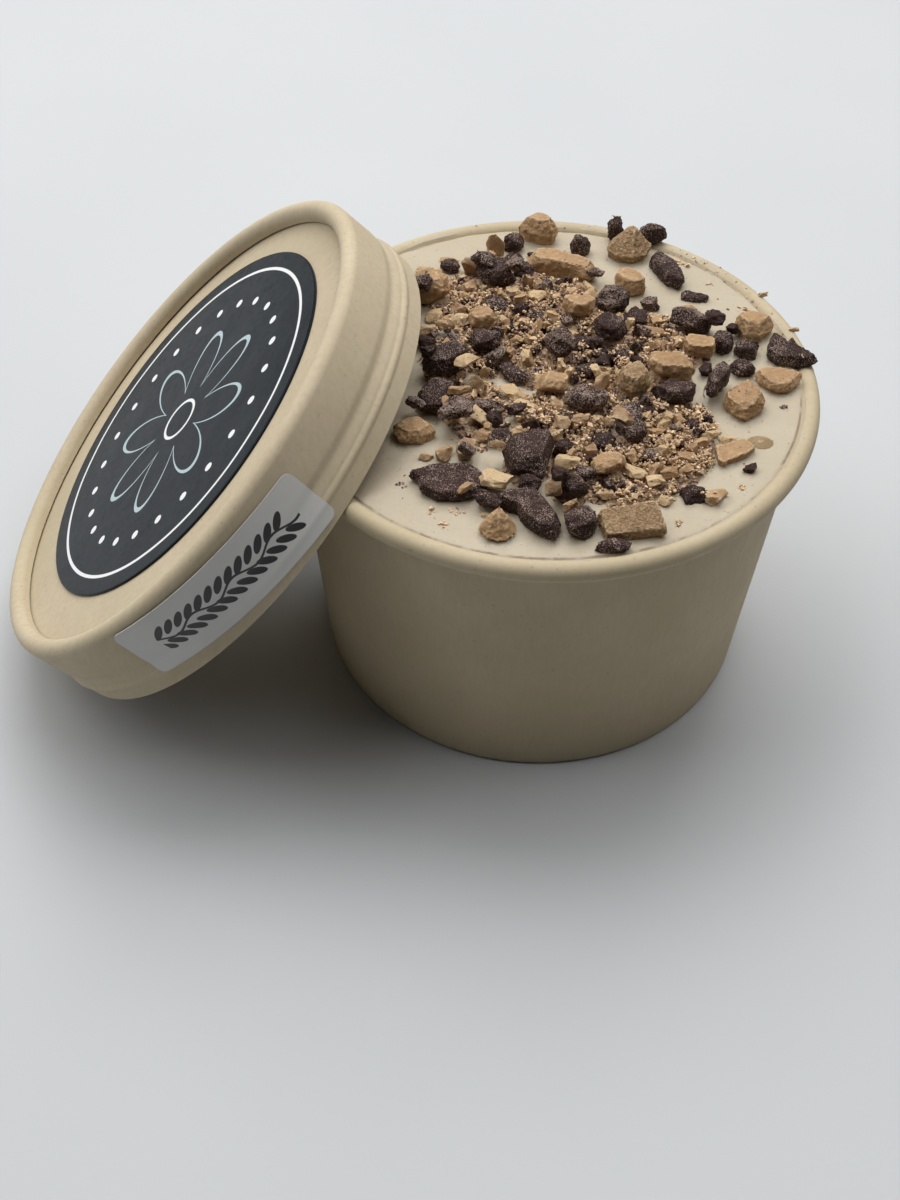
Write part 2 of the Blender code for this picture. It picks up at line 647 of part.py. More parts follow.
def build():
    clear_scene()
    rng = random.Random(SEED)
    cup_paper = finish("cup_paper", (0.53, 0.45, 0.33), 0.75)
    lid_paper = finish("lid_paper", (0.60, 0.51, 0.38), 0.75)
    cream = finish("gelato", (0.78, 0.70, 0.56), 0.45)
    crumbs = finish("mixed_crumbs", (0.40, 0.26, 0.17), 0.7)
    peanut = finish("peanut_butter_pieces", (0.55, 0.34, 0.17), 0.6)
    dark = finish("chocolate", (0.10, 0.055, 0.045), 0.5)
    slate = finish("sticker_film", (0.035, 0.05, 0.06), 0.25)
    white = finish("label_paper", (0.75, 0.75, 0.74), 0.55)

    cup = empty("cup_frame", Matrix.Translation(CUP_AXIS))
    wall = cup_wall(cup, cup_paper)
    cup_base(cup, cup_paper)
    plug = gelato(cup, cream)
    core = heap_core(cup, crumbs)

    lid = lid_frame(cup)
    band = lid_band(lid, lid_paper)
    panel = lid_panel(lid, lid_paper)
    lid_sticker(lid, slate)
    flavour_label(lid, white)
    bpy.context.view_layer.update()

    to_cup = cup.matrix_world.inverted()
    fixed = [object_tree(plug), object_tree(core), object_tree(wall)]
    for thing in (band, panel):
        bm = bmesh.new()
        bm.from_mesh(thing.data)
        fixed.append(tree_of(bm, to_cup @ thing.matrix_world))
        bm.free()
    finishes = {"peanut_chunk": peanut, "chocolate_chunk": dark}
    pieces = large_pieces(cup, fixed, fixed[:2], finishes, rng)
    obstacles = [fixed[0]] + fixed[2:] + pieces
    join(core, small_pieces(fixed[1], obstacles, rng), crumbs, "EXACT")


build()
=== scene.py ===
"""Looks of the gelato cup: the paper tub and lid, the gelato, and the heap of broken toppings.

Lengths are in millimetres until a mesh is made. Places on the cup are measured from the cup's axis, and
places on the lid from the middle of its open edge.
"""
import math
import random
from dataclasses import dataclass

import bmesh
import bpy
import numpy as np
from mathutils import Matrix, Vector, noise


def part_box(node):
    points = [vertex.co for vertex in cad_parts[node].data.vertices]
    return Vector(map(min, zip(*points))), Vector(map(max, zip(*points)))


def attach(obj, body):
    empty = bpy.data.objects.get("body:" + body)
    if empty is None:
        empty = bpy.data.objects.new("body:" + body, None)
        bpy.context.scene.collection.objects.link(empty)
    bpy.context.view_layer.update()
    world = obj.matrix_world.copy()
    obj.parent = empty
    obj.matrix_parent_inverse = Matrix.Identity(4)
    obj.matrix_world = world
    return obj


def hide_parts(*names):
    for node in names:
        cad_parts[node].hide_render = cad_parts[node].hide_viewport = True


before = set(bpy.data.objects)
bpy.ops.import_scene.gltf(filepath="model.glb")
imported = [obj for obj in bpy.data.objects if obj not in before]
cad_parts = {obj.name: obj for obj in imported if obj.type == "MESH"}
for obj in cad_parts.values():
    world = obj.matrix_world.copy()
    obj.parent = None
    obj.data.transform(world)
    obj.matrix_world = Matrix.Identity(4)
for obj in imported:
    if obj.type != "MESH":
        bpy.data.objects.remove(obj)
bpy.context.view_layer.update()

MM = 0.001
SEED = 29

# Cup, as the frame has it
WALL_LOW, WALL_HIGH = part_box("cup_wall")
CUP_AXIS = Vector(((WALL_LOW.x + WALL_HIGH.x) / 2, (WALL_LOW.y + WALL_HIGH.y) / 2, 0))
CUP_PLACE = Matrix.Translation(CUP_AXIS)
BASE_RADIUS = 48.5
NECK_RADIUS = 53.9
NECK_HEIGHT = 67.0
RIM_RADIUS = 57.5
BEAD_RADIUS = 2.1
BEAD_HEIGHT = 69.2
WALL = 0.65
HEM_HEIGHT = 5.5
FLOOR_HEIGHT = 6.5
FLOOR_SHEET = 0.5
SKIRT_FOOT = 1.2
CUP_COLUMNS = 240
CUP_SEAM = math.radians(118)
SEAM_STEP = 0.25
SEAM_LAP = 9.0

# Gelato
TOP = 70.9
FILL_EDGE = 53.9
FILL_RINGS = 96
FILL_COLUMNS = 360
DIP = 0.5

# Radius of the broken dark line of painted shade in the gap between the gelato and the rim
EDGE_SHADE_LINE = 53.3

# Heap
HEAP_MIDDLE = (2.0, -3.0)
HEAP_REACH = (31, 34, 37, 34, 33, 34, 36, 39, 41, 41, 36, 31, 29, 28, 26, 26, 30, 34, 35, 38, 38, 40, 37, 34)
CORE_RISE = 1.1
CORE_FOOT = -1.4
HEAP_EDGE = 0.9
HEAP_RISE = 2.0
CHUNK_SINK = 0.45

# Lid
LID_PLACE = (-67.6, -2.7)
LID_TILT = math.radians(45.4)
LID_BEARING = math.radians(-176.9)
LID_RADIUS = 59.0
LID_SHEET = 0.9
LID_HEIGHT = 19.6
ROLL_RADIUS = 2.2
ROLL_AXIS_RADIUS = 56.6
PANEL_HEIGHT = 15.9
PANEL_SHEET = 0.6
FLANGE_HEIGHT = 17.2
LID_COLUMNS = 288
BAND_STEPS = ((0.0, 0.0), (3.4, 0.0), (4.3, 0.3), (5.4, -0.1), (7.8, -0.55), (9.8, -0.2), (13.0, -0.2))
# The lap of the lid's paper: places along the sheet from the open edge, and the lap's angle there
LID_LAP = ((0.0, 143), (6.6, 159.1), (9.3, 167.8), (18.0, 187.2), (19.1, 190.7), (24.3, 200.1), (28.0, 203.0))

# Sticker and label
STICKER_RADIUS = 44.8
STICKER_PLACE = (2.6, 0.5)
STICKER_FOOT = 16.2
STICKER_SHEET = 0.25
LABEL_LENGTH = 51.0
LABEL_WIDTH = 13.6
LABEL_CORNER = 1.8
LABEL_BEARING = math.radians(198.0)
LABEL_HEIGHT = 9.5
LABEL_SLANT = math.radians(-3.2)
LABEL_SHEET = 0.2
# Their print: the rosette's least radius and its swing, the ring of dots, and the garland's leaves
PETAL_FOOT, PETAL_SWING = 9.0, 15.0
DOTS, DOT_RING = 24, 31.5
LEAF_PERIOD, LEAF_LEAN = 5.6, math.radians(38)

# The photograph's camera, from the cup's axis: place, and yaw, pitch and roll in degrees
CAMERA_PLACE = (0.0, -265.7, 288.0)
CAMERA_TURN = (-4.20, -47.28, 0.72)
CAMERA_LENS = 48.4


def camera_matrix(place, yaw, pitch, roll):
    """Matrix of a camera that looks along +Y when its yaw and pitch are 0."""
    yaw, pitch, roll = (math.radians(angle) for angle in (yaw, pitch, roll))
    ahead = Vector((math.sin(yaw) * math.cos(pitch), math.cos(yaw) * math.cos(pitch), math.sin(pitch)))
    right = Vector((math.cos(yaw), -math.sin(yaw), 0))
    up = right.cross(ahead)
    across = right * math.cos(roll) + up * math.sin(roll)
    upward = up * math.cos(roll) - right * math.sin(roll)
    turn = Matrix((across, upward, -ahead)).transposed().to_4x4()
    return Matrix.Translation(place) @ turn


def add_object(name, data):
    thing = bpy.data.objects.new(name, data)
    bpy.context.scene.collection.objects.link(thing)
    return thing


def add_camera():
    data = bpy.data.cameras.new("photo_camera")
    data.lens = CAMERA_LENS
    data.clip_start = 0.01
    camera = add_object("photo_camera", data)
    camera.matrix_world = camera_matrix(CUP_AXIS + Vector(CAMERA_PLACE) * MM, *CAMERA_TURN)
    bpy.context.scene.camera = camera


class Recipe:
    """A node material on a Principled shader, built up call by call. Scales are in features per mm."""

    def __init__(self, name, roughness=0.6, frame_place=None, specular=None, depth=None):
        self.material = bpy.data.materials.new(name)
        self.material.use_nodes = True
        self.tree = self.material.node_tree
        self.shader = self.tree.nodes["Principled BSDF"].inputs
        self.shader["Roughness"].default_value = roughness
        if specular is not None:
            self.shader["Specular IOR Level"].default_value = specular
        if depth:
            for part, value in zip(("Weight", "Radius", "Scale"), depth):
                self.shader["Subsurface " + part].default_value = value
        self.place = self.add("TexCoord")["Object"]
        if frame_place:
            back = {0: self.place, "Location": frame_place.to_translation(), "Rotation": frame_place.to_euler()}
            self.place = self.add("Mapping", back, vector_type="TEXTURE")[0]

    def wire(self, value, socket):
        """Links a socket, or sets a constant."""
        if isinstance(value, bpy.types.NodeSocket):
            self.tree.links.new(value, socket)
        else:
            socket.default_value = (*value, 1) if socket.type == "RGBA" else value

    def add(self, kind, sockets=None, **settings):
        """The outputs of a new node with these settings, and with these inputs by name or number."""
        node = self.tree.nodes.new("ShaderNode" + kind)
        for name, value in settings.items():
            setattr(node, name, value)
        for key, value in (sockets or {}).items():
            self.wire(value, node.inputs[key])
        return node.outputs

    def math(self, operation, *values):
        return self.add("Math", dict(enumerate(values)), operation=operation)[0]

    def times(self, a, b):
        return self.math("MULTIPLY", a, b)

    def plus(self, a, b):
        return self.math("ADD", a, b)

    def minus(self, a, b):
        return self.math("SUBTRACT", a, b)

    def size(self, a):
        return self.math("ABSOLUTE", a, 0)

    def largest(self, first, *others):
        for other in others:
            first = self.math("MAXIMUM", first, other)
        return first

    def squares(self, a, b):
        return self.plus(self.times(a, a), self.times(b, b))

    def split(self):
        return self.add("SeparateXYZ", {0: self.place})

    def radius(self, middle):
        """Distance in mm from an upright axis."""
        x, y, _ = self.split()
        square = self.squares(self.minus(x, middle[0]), self.minus(y, middle[1]))
        return self.math("DIVIDE", self.math("SQRT", square, 0), MM)

    def piece(self):
        """A random value from 0 to 1 for each loose body of the mesh."""
        return self.add("NewGeometry")["Random Per Island"]

    def edge(self):
        """More than 0.5 on edges and less in hollows."""
        return self.add("NewGeometry")["Pointiness"]

    def shaken(self, scale, reach):
        """The place, moved unevenly by up to about half the reach in mm."""
        move = self.add("TexNoise", {"Scale": scale / MM, "Vector": self.place})["Color"]
        return self.add("VectorMath", {0: move, 1: (reach * MM,) * 3, 2: self.place}, operation="MULTIPLY_ADD")[0]

    def stretched(self, *scales):
        return self.add("VectorMath", {0: self.place, 1: scales}, operation="MULTIPLY")[0]

    def noise(self, scale, detail=3.0, rough=0.55, vector=None):
        look = {"Scale": scale / MM, "Detail": detail, "Roughness": rough, "Vector": vector or self.place}
        return self.add("TexNoise", look)["Fac"]

    def cells(self, scale, output="Distance", vector=None):
        return self.add("TexVoronoi", {"Scale": scale / MM, "Vector": vector or self.place})[output]

    def step(self, value, low, high, to_low=0.0, to_high=1.0):
        """A smooth step between two values, from low to high."""
        ends = {"Value": value, "From Min": low, "From Max": high, "To Min": to_low, "To Max": to_high}
        return self.add("MapRange", ends, interpolation_type="SMOOTHSTEP")["Result"]

    def tinted(self, share, first, second):
        self.tint = self.add("Mix", {0: share, 6: first, 7: second}, data_type="RGBA")[2]

    def clouded(self, first, second, scale, detail=3):
        """Starts the tint with two colours in clouds."""
        self.tinted(self.step(self.noise(scale, detail), 0.3, 0.7), first, second)

    def over(self, share, colour):
        """Lays a share of a colour over the tint."""
        self.tinted(share, self.tint, colour)

    def bump(self, height, depth, under=None):
        sockets = {"Distance": depth * MM, "Height": height, **({"Normal": under} if under else {})}
        return self.add("Bump", sockets)["Normal"]

    def finish(self, normal, roughness=None):
        self.wire(self.tint, self.shader["Base Color"])
        self.wire(normal, self.shader["Normal"])
        if roughness:
            self.wire(roughness, self.shader["Roughness"])
        return self.material


def paper(name, light, dark, fibres):
    """Unbleached board: cloudy tint, a share of short fibres, and a few darker flecks."""
    mat = Recipe(name)
    fibre = mat.noise(0.9, 3, 0.6, mat.stretched(1, 1, 0.25))
    fleck = mat.step(mat.noise(1.5, 1, 0.3, mat.stretched(1, 0.5, 1)), 0.72, 0.76)
    mat.clouded(light, dark, 0.045, 4)
    mat.over(mat.step(fibre, 0.35, 0.7, 0.0, fibres), [0.72 * c for c in dark])
    mat.over(mat.times(fleck, 0.35), [0.45 * c for c in dark])
    mat.over(mat.step(mat.noise(0.03, 5, 0.6), 0.45, 0.7, 0.0, 0.4), np.multiply(dark, (0.92, 0.97, 0.90)))
    normal = mat.bump(fibre, 0.2 * fibres, mat.bump(mat.noise(3.2, 2), 0.018))
    return mat.finish(normal, mat.step(fibre, 0.2, 0.8, 0.66, 0.84))


def gelato_finish():
    """Smooth cream, faintly clouded, with pores, scrape marks, tiny brown specks, and a broken dark line of painted
    shade in the gap at its edge.
    """
    mat = Recipe("gelato", depth=(0.2, (1.0, 0.7, 0.45), 2.0 * MM))
    pores = mat.noise(1.3, 4, 0.6)
    scrape = mat.noise(0.9, 3, 0.6, mat.stretched(0.12, 1, 1))
    mat.clouded((0.456, 0.391, 0.283), (0.430, 0.361, 0.258), 0.06, 4)
    mat.over(mat.step(scrape, 0.62, 0.75, 0.0, 0.18), (0.40, 0.31, 0.20))
    mat.over(mat.times(mat.step(mat.noise(1.1, 2, 0.5), 0.70, 0.74), 0.55), (0.20, 0.12, 0.06))
    # Painted shade: a broken dark line in the gap where the gelato meets the rim
    seam = mat.step(mat.size(mat.minus(mat.radius(CUP_AXIS), EDGE_SHADE_LINE)), 0.10, 0.32, 1.0, 0.0)
    broken = mat.times(mat.step(mat.noise(0.16, 3), 0.44, 0.58), 0.7)
    mat.over(mat.times(seam, broken), (0.19, 0.13, 0.08))
    normal = mat.bump(pores, 0.10, mat.bump(mat.noise(0.25, 3), 0.25))
    return mat.finish(normal, mat.step(pores, 0.3, 0.7, 0.42, 0.6))


def chocolate_finish(name, dust, varied=False):
    """Dark chocolate with pale sugar frost in its rough places. Dust is the share that it covers."""
    mat = Recipe(name, specular=0.15)
    frost = mat.noise(1.5, 5, 0.75)
    density = mat.step(mat.noise(0.30, 3), 0.35, 0.65, 0.13 + 0.25 * dust, 0.35 + 0.3 * dust)
    if varied:
        density = mat.plus(density, mat.step(mat.piece(), 0.3, 1.0, -0.08, 0.22))
    uneven = mat.shaken(0.9, 0.35)
    fine = mat.math("LESS_THAN", mat.cells(3.2, vector=uneven), density)
    coarse = mat.math("LESS_THAN", mat.cells(1.5, vector=uneven), mat.times(density, 0.6))
    share = mat.times(mat.largest(fine, coarse), mat.step(frost, 0.30, 0.6, 0.25, 0.9))
    mat.clouded((0.031, 0.0155, 0.0130), (0.049, 0.0255, 0.0210), 0.12)
    # Paler on sharp edges: partly wear, partly a painted highlight
    mat.over(mat.step(mat.edge(), 0.52, 0.60, 0.0, 0.30), (0.15, 0.095, 0.075))
    mat.over(share, (0.36, 0.27, 0.22))
    normal = mat.bump(frost, 0.35, mat.bump(mat.noise(0.7, 3), 0.3))
    return mat.finish(normal, mat.step(share, 0, 1, 0.5, 0.85))


def peanut_finish(name, sugar, varied=False, light=(0.415, 0.256, 0.128), deep=(0.325, 0.192, 0.089)):
    """Waxy peanut butter filling: caramel tan with paler edges, partly worn and partly a painted highlight, painted
    shade in its hollows, fine grain and pits. Sugar adds pale grains.
    """
    mat = Recipe(name, specular=0.3, depth=(0.12, (1.0, 0.55, 0.3), 1.0 * MM))
    patch = mat.noise(0.35, 4, 0.6)
    grain = mat.noise(2.2, 3, 0.6)
    mat.clouded(light, deep, 0.07)
    mat.over(mat.step(patch, 0.45, 0.75, 0.0, 0.4), (0.50, 0.34, 0.19))
    if varied:
        mat.over(mat.step(mat.piece(), 0.40, 0.95, 0.0, 0.8), (0.60, 0.44, 0.25))
        mat.over(mat.step(mat.piece(), 0.18, 0.02, 0.0, 0.6), (0.24, 0.135, 0.075))
    # Paler on sharp edges: partly wear, partly a painted highlight
    mat.over(mat.step(mat.edge(), 0.505, 0.55, 0.0, 0.65), (0.61, 0.45, 0.28))
    # Painted shade: darker in the hollows, where the surface is least pointed
    mat.over(mat.step(mat.edge(), 0.49, 0.45, 0.0, 0.6), (0.20, 0.11, 0.055))
    mat.over(mat.step(mat.noise(0.9, 4, 0.7), 0.56, 0.66, 0.0, 0.45), (0.27, 0.155, 0.085))
    pale = mat.step(grain, 0.62 - 0.14 * sugar, 0.72 - 0.14 * sugar)
    mat.over(mat.times(pale, 0.28 + 0.1 * sugar), (0.52, 0.375, 0.22))
    mat.over(mat.times(mat.step(mat.noise(1.3, 1, 0.4), 0.70, 0.74), 0.75), (0.11, 0.06, 0.035))
    normal = mat.bump(grain, 0.2 + 0.16 * sugar, mat.bump(patch, 0.35))
    return mat.finish(normal, mat.step(grain, 0.3, 0.7, 0.45, 0.65))


def crumb_finish(name, pale, deep, dark, dark_share):
    """Crumbs whose tint changes from grain to grain."""
    mat = Recipe(name, 0.7)
    mat.tinted(mat.step(mat.piece(), 0.0, 1.0), pale, deep)
    mat.over(mat.step(mat.noise(0.5, 2, 0.7), 0.62 - dark_share, 0.66 - dark_share), dark)
    return mat.finish(mat.bump(mat.noise(4.0, 2), 0.12))


def core_finish():
    """Packed crumbs, too fine to tell apart: tan, pinkish and dark grains side by side."""
    mat = Recipe("mixed_crumbs", 0.75)
    grain = mat.add("SeparateColor", {0: mat.cells(1.5, "Color")})
    limit = mat.step(mat.noise(0.14, 2), 0.4, 0.62, 0.6, 0.9)
    mat.tinted(grain[1], (0.60, 0.43, 0.27), (0.38, 0.24, 0.15))
    mat.over(mat.math("GREATER_THAN", grain[0], limit), (0.13, 0.068, 0.053))
    return mat.finish(mat.bump(mat.cells(1.5), 0.5, mat.bump(mat.noise(3.0, 3), 0.2)))


def sticker_finish(place):
    """Glossy slate film, printed with a white ring, a ring of dots and a line rosette."""
    mat = Recipe("sticker_film", 0.16, place, specular=0.08)
    middle = [value * MM for value in STICKER_PLACE]
    x, y, _ = mat.split()
    radius = mat.radius(middle)
    angle = mat.math("ARCTAN2", mat.plus(y, -middle[1]), mat.plus(x, -middle[0]))

    def line(reach, width):
        return mat.step(mat.size(mat.minus(radius, reach)), width / 2 - 0.06, width / 2 + 0.06, 1.0, 0.0)

    # Rosette of eight petals: an outline whose radius swings with |sin(4 angle)|
    wave = mat.size(mat.math("SINE", mat.times(angle, 4.0), 0))
    petals = line(mat.plus(mat.times(wave, PETAL_SWING), PETAL_FOOT), 1.3)
    turn = mat.math("PINGPONG", angle, math.pi / DOTS)
    gap = mat.math("SQRT", mat.squares(mat.times(turn, DOT_RING), mat.minus(radius, DOT_RING)), 0)
    dots = mat.step(gap, 1.0, 1.12, 1.0, 0.0)
    mat.clouded((0.008, 0.0108, 0.0145), (0.0105, 0.014, 0.018), 0.05)
    mat.over(petals, (0.42, 0.52, 0.54))
    mat.over(mat.largest(line(40.2, 0.8), dots, line(5.0, 0.8)), (0.80, 0.81, 0.80))
    return mat.finish(mat.bump(mat.noise(0.06, 2), 0.12), mat.step(mat.noise(0.5, 3), 0.3, 0.7, 0.2, 0.28))


def label_finish(place):
    """Satin white label paper, printed with a dark garland of leaves on a waving stem."""
    mat = Recipe("label_paper", 0.45, place)
    x, y, z = mat.split()
    run = mat.times(mat.plus(mat.math("ARCTAN2", y, x), 2 * math.pi - LABEL_BEARING), LID_RADIUS)
    rise = mat.minus(mat.math("DIVIDE", z, MM), LABEL_HEIGHT)
    cos, sin = math.cos(LABEL_SLANT), math.sin(LABEL_SLANT)
    along = mat.plus(mat.times(run, cos), mat.times(rise, sin))
    across = mat.minus(mat.times(rise, cos), mat.times(run, sin))
    stem = mat.times(mat.math("SINE", mat.times(along, math.pi / LEAF_PERIOD), 0), 0.9)
    inside = mat.step(mat.size(along), 20.6, 20.7, 1.0, 0.0)
    ink = mat.times(mat.step(mat.size(mat.minus(across, stem)), 0.22, 0.32, 1.0, 0.0), inside)
    long, wide = ((math.cos(LEAF_LEAN) / half, math.sin(LEAF_LEAN) / half) for half in (2.1, 0.8))
    half = LEAF_PERIOD / 2
    # One leaf in each period, twice on each side of the stem, leaning forward
    for shift, side in ((0.0, 1), (half, 1), (1.4, -1), (1.4 + half, -1)):
        cell = mat.math("WRAP", mat.plus(along, shift), half, -half)
        out = mat.minus(mat.times(across, side), 1.9)
        reach = mat.squares(mat.plus(mat.times(cell, long[0]), mat.times(out, long[1])),
                            mat.minus(mat.times(out, wide[0]), mat.times(cell, wide[1])))
        whole = mat.math("LESS_THAN", mat.size(mat.minus(along, cell)), 18.6)
        ink = mat.largest(ink, mat.times(mat.step(reach, 0.9, 1.05, 1.0, 0.0), whole))
    grain = mat.noise(1.8, 3)
    mat.clouded((0.62, 0.61, 0.58), (0.58, 0.57, 0.545), 0.08)
    mat.over(ink, (0.035, 0.032, 0.034))
    return mat.finish(mat.bump(grain, 0.02), mat.step(grain, 0.3, 0.7, 0.4, 0.52))


def floor_finish():
    """Pale matte board."""
    mat = Recipe("floor_board", 0.8)
    mat.clouded((0.535, 0.547, 0.555), (0.515, 0.528, 0.54), 0.006)
    return mat.finish(mat.bump(mat.noise(0.8, 3), 0.03))


def add_mesh(name, points, faces, material, slot, place=CUP_PLACE, crease=None, replaces=()):
    """A piece of the object from points in millimetres in a frame, riding on the one body."""
    mesh = bpy.data.meshes.new(name)
    mesh.from_pydata(np.asarray(points).reshape(-1, 3) * MM, [], faces)
    mesh.transform(place)
    mesh.materials.append(material)
    mesh.shade_smooth()
    if crease:
        mesh.set_sharp_from_angle(angle=math.radians(crease))
    piece = add_object(name, mesh)
    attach(piece, "root")
    if replaces:
        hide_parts(*replaces)


def add_ring_mesh(name, points, *look, turned=True, **more):
    """A piece from a grid of points that closes along its rows and its columns."""
    faces = grid_faces(*points.shape[:2], True)
    add_mesh(name, points, [face[::-1] for face in faces] if turned else faces, *look, **more)


def arc(middle, radius, start, end, steps):
    """Points on an arc in a (radius, height) plane, with the angles in degrees."""
    angles = np.radians(np.linspace(start, end, steps + 1))
    return [(middle[0] + radius * math.cos(a), middle[1] + radius * math.sin(a)) for a in angles]


def sheet_outline(path, thickness):
    """The closed outline of a sheet of even thickness that follows a path, with mitred corners."""
    path = np.array(path)
    step = np.diff(path, axis=0)
    step /= np.linalg.norm(step, axis=1)[:, None]
    before = np.vstack((step[:1], step))
    after = np.vstack((step, step[-1:]))
    normal = np.stack((-before[:, 1], before[:, 0]), 1)
    mitre = normal + np.stack((-after[:, 1], after[:, 0]), 1)
    mitre /= np.linalg.norm(mitre, axis=1)[:, None]
    reach = thickness / 2 / np.maximum((mitre * normal).sum(1), 0.5)
    return np.vstack((path + mitre * reach[:, None], (path - mitre * reach[:, None])[::-1]))


def grid_faces(rows, columns, closed_rows):
    """Quads of a grid that closes along its columns, and along its rows too where asked."""
    faces = []
    for r in range(rows if closed_rows else rows - 1):
        low, high = r * columns, (r + 1) % rows * columns
        for c in range(columns):
            n = (c + 1) % columns
            faces.append((low + c, low + n, high + n, high + c))
    return faces


def all_round(count):
    """Even angles all round."""
    return np.arange(count) * 2 * math.pi / count


def polar(radius, theta, height):
    return np.stack((radius * np.cos(theta), radius * np.sin(theta), height), 2)


def around(outline, angles, shear=None, offset=None):
    """Points of an outline of (radius, height) turned round the Z axis at the given angles."""
    outline = np.asarray(outline, float)
    theta = np.asarray(angles)[None, :] + (0 if shear is None else np.asarray(shear)[:, None])
    radius = np.repeat(outline[:, :1], theta.shape[1], 1)
    height = np.repeat(outline[:, 1:], theta.shape[1], 1)
    if offset is not None:
        radius = radius + offset(theta, height)
    return polar(radius, theta, height)


def columns_round(count, seam):
    """Even angles all round, with close columns on both sides of a seam."""
    close = np.radians((0.03, 0.25, 0.6))
    step = 2 * math.pi / count
    even = seam + np.arange(1, count) * step
    return np.concatenate((even, seam + 2 * math.pi - close[::-1], seam + 2 * math.pi + close))


def lap_step(theta, seam, radius):
    """How far a lapped sheet stands out: a sharp edge at the seam that fades along the lap."""
    past = np.mod(theta - seam, 2 * math.pi) * radius
    return SEAM_STEP * np.clip(1 - past / SEAM_LAP, 0, 1) ** 2


def waver(x, y, z, scale):
    """Smooth noise in -1 to 1 at each point."""
    flat = np.stack(np.broadcast_arrays(x, y, z), -1).reshape(-1, 3) * scale
    values = [noise.noise(Vector(row)) for row in flat.tolist()]
    return np.array(values).reshape(np.broadcast(x, y, z).shape)


def wall_line(height):
    """Radius of the middle of the cup's wall sheet at a height."""
    return BASE_RADIUS + (NECK_RADIUS - BASE_RADIUS) * height / NECK_HEIGHT - WALL / 2


def build_cup(finish):
    """The tub's side in one sheet, with folded hem, rolled rim and side seam, and its floor disc."""
    fold = WALL + FLOOR_SHEET + 0.6
    path = [(wall_line(h) - fold, h) for h in (HEM_HEIGHT, 3.6, 1.8, WALL / 2 + 0.4)]
    path += arc((wall_line(0.4) - fold / 2, WALL / 2 + fold / 2 + 0.02), fold / 2, 190, 350, 8)
    path += [(wall_line(h), h) for h in np.linspace(1.8, NECK_HEIGHT - 1, 22)]
    path += arc((RIM_RADIUS - BEAD_RADIUS, BEAD_HEIGHT), BEAD_RADIUS - WALL / 2, 190, -115, 30)

    def offset(theta, height):
        lap = lap_step(theta, CUP_SEAM, BASE_RADIUS) * np.clip((BEAD_HEIGHT + 2.3 - height) / 4, 0, 1)
        return lap + 0.10 * waver(np.cos(theta) * 2, np.sin(theta) * 2, height / 40, 1.0)

    points = around(sheet_outline(path, WALL), columns_round(CUP_COLUMNS, CUP_SEAM), offset=offset)
    add_ring_mesh("tub_side", points, finish, "cup_paper", turned=False, crease=60, replaces=["cup_wall"])

    top, under = FLOOR_HEIGHT + FLOOR_SHEET / 2, FLOOR_HEIGHT - FLOOR_SHEET / 2
    inset = WALL / 2 + 0.3
    inner = inset + FLOOR_SHEET
    rows = [(0.01, top), (24, top), (wall_line(top) - inset - 0.6, top), (wall_line(top) - inset, top - 0.6)]
    rows += [(wall_line(SKIRT_FOOT) - inset, SKIRT_FOOT), (wall_line(SKIRT_FOOT) - inner, SKIRT_FOOT)]
    rows += [(wall_line(under) - inner, under - 0.4), (wall_line(under) - inner - 0.4, under)]
    rows += [(24, under), (0.01, under)]
    points = around(rows, all_round(CUP_COLUMNS))
    add_ring_mesh("tub_floor", points, finish, "cup_paper", turned=False, crease=40, replaces=["cup_base"])


def scraped_dip(x, y):
    """How far the scraped gelato lies below its highest level at a place."""
    ripple = 0.5 + 0.28 * np.sin(0.095 * x + 0.040 * y) + 0.22 * np.sin(0.130 * y - 0.060 * x + 1.2)
    return DIP * ripple


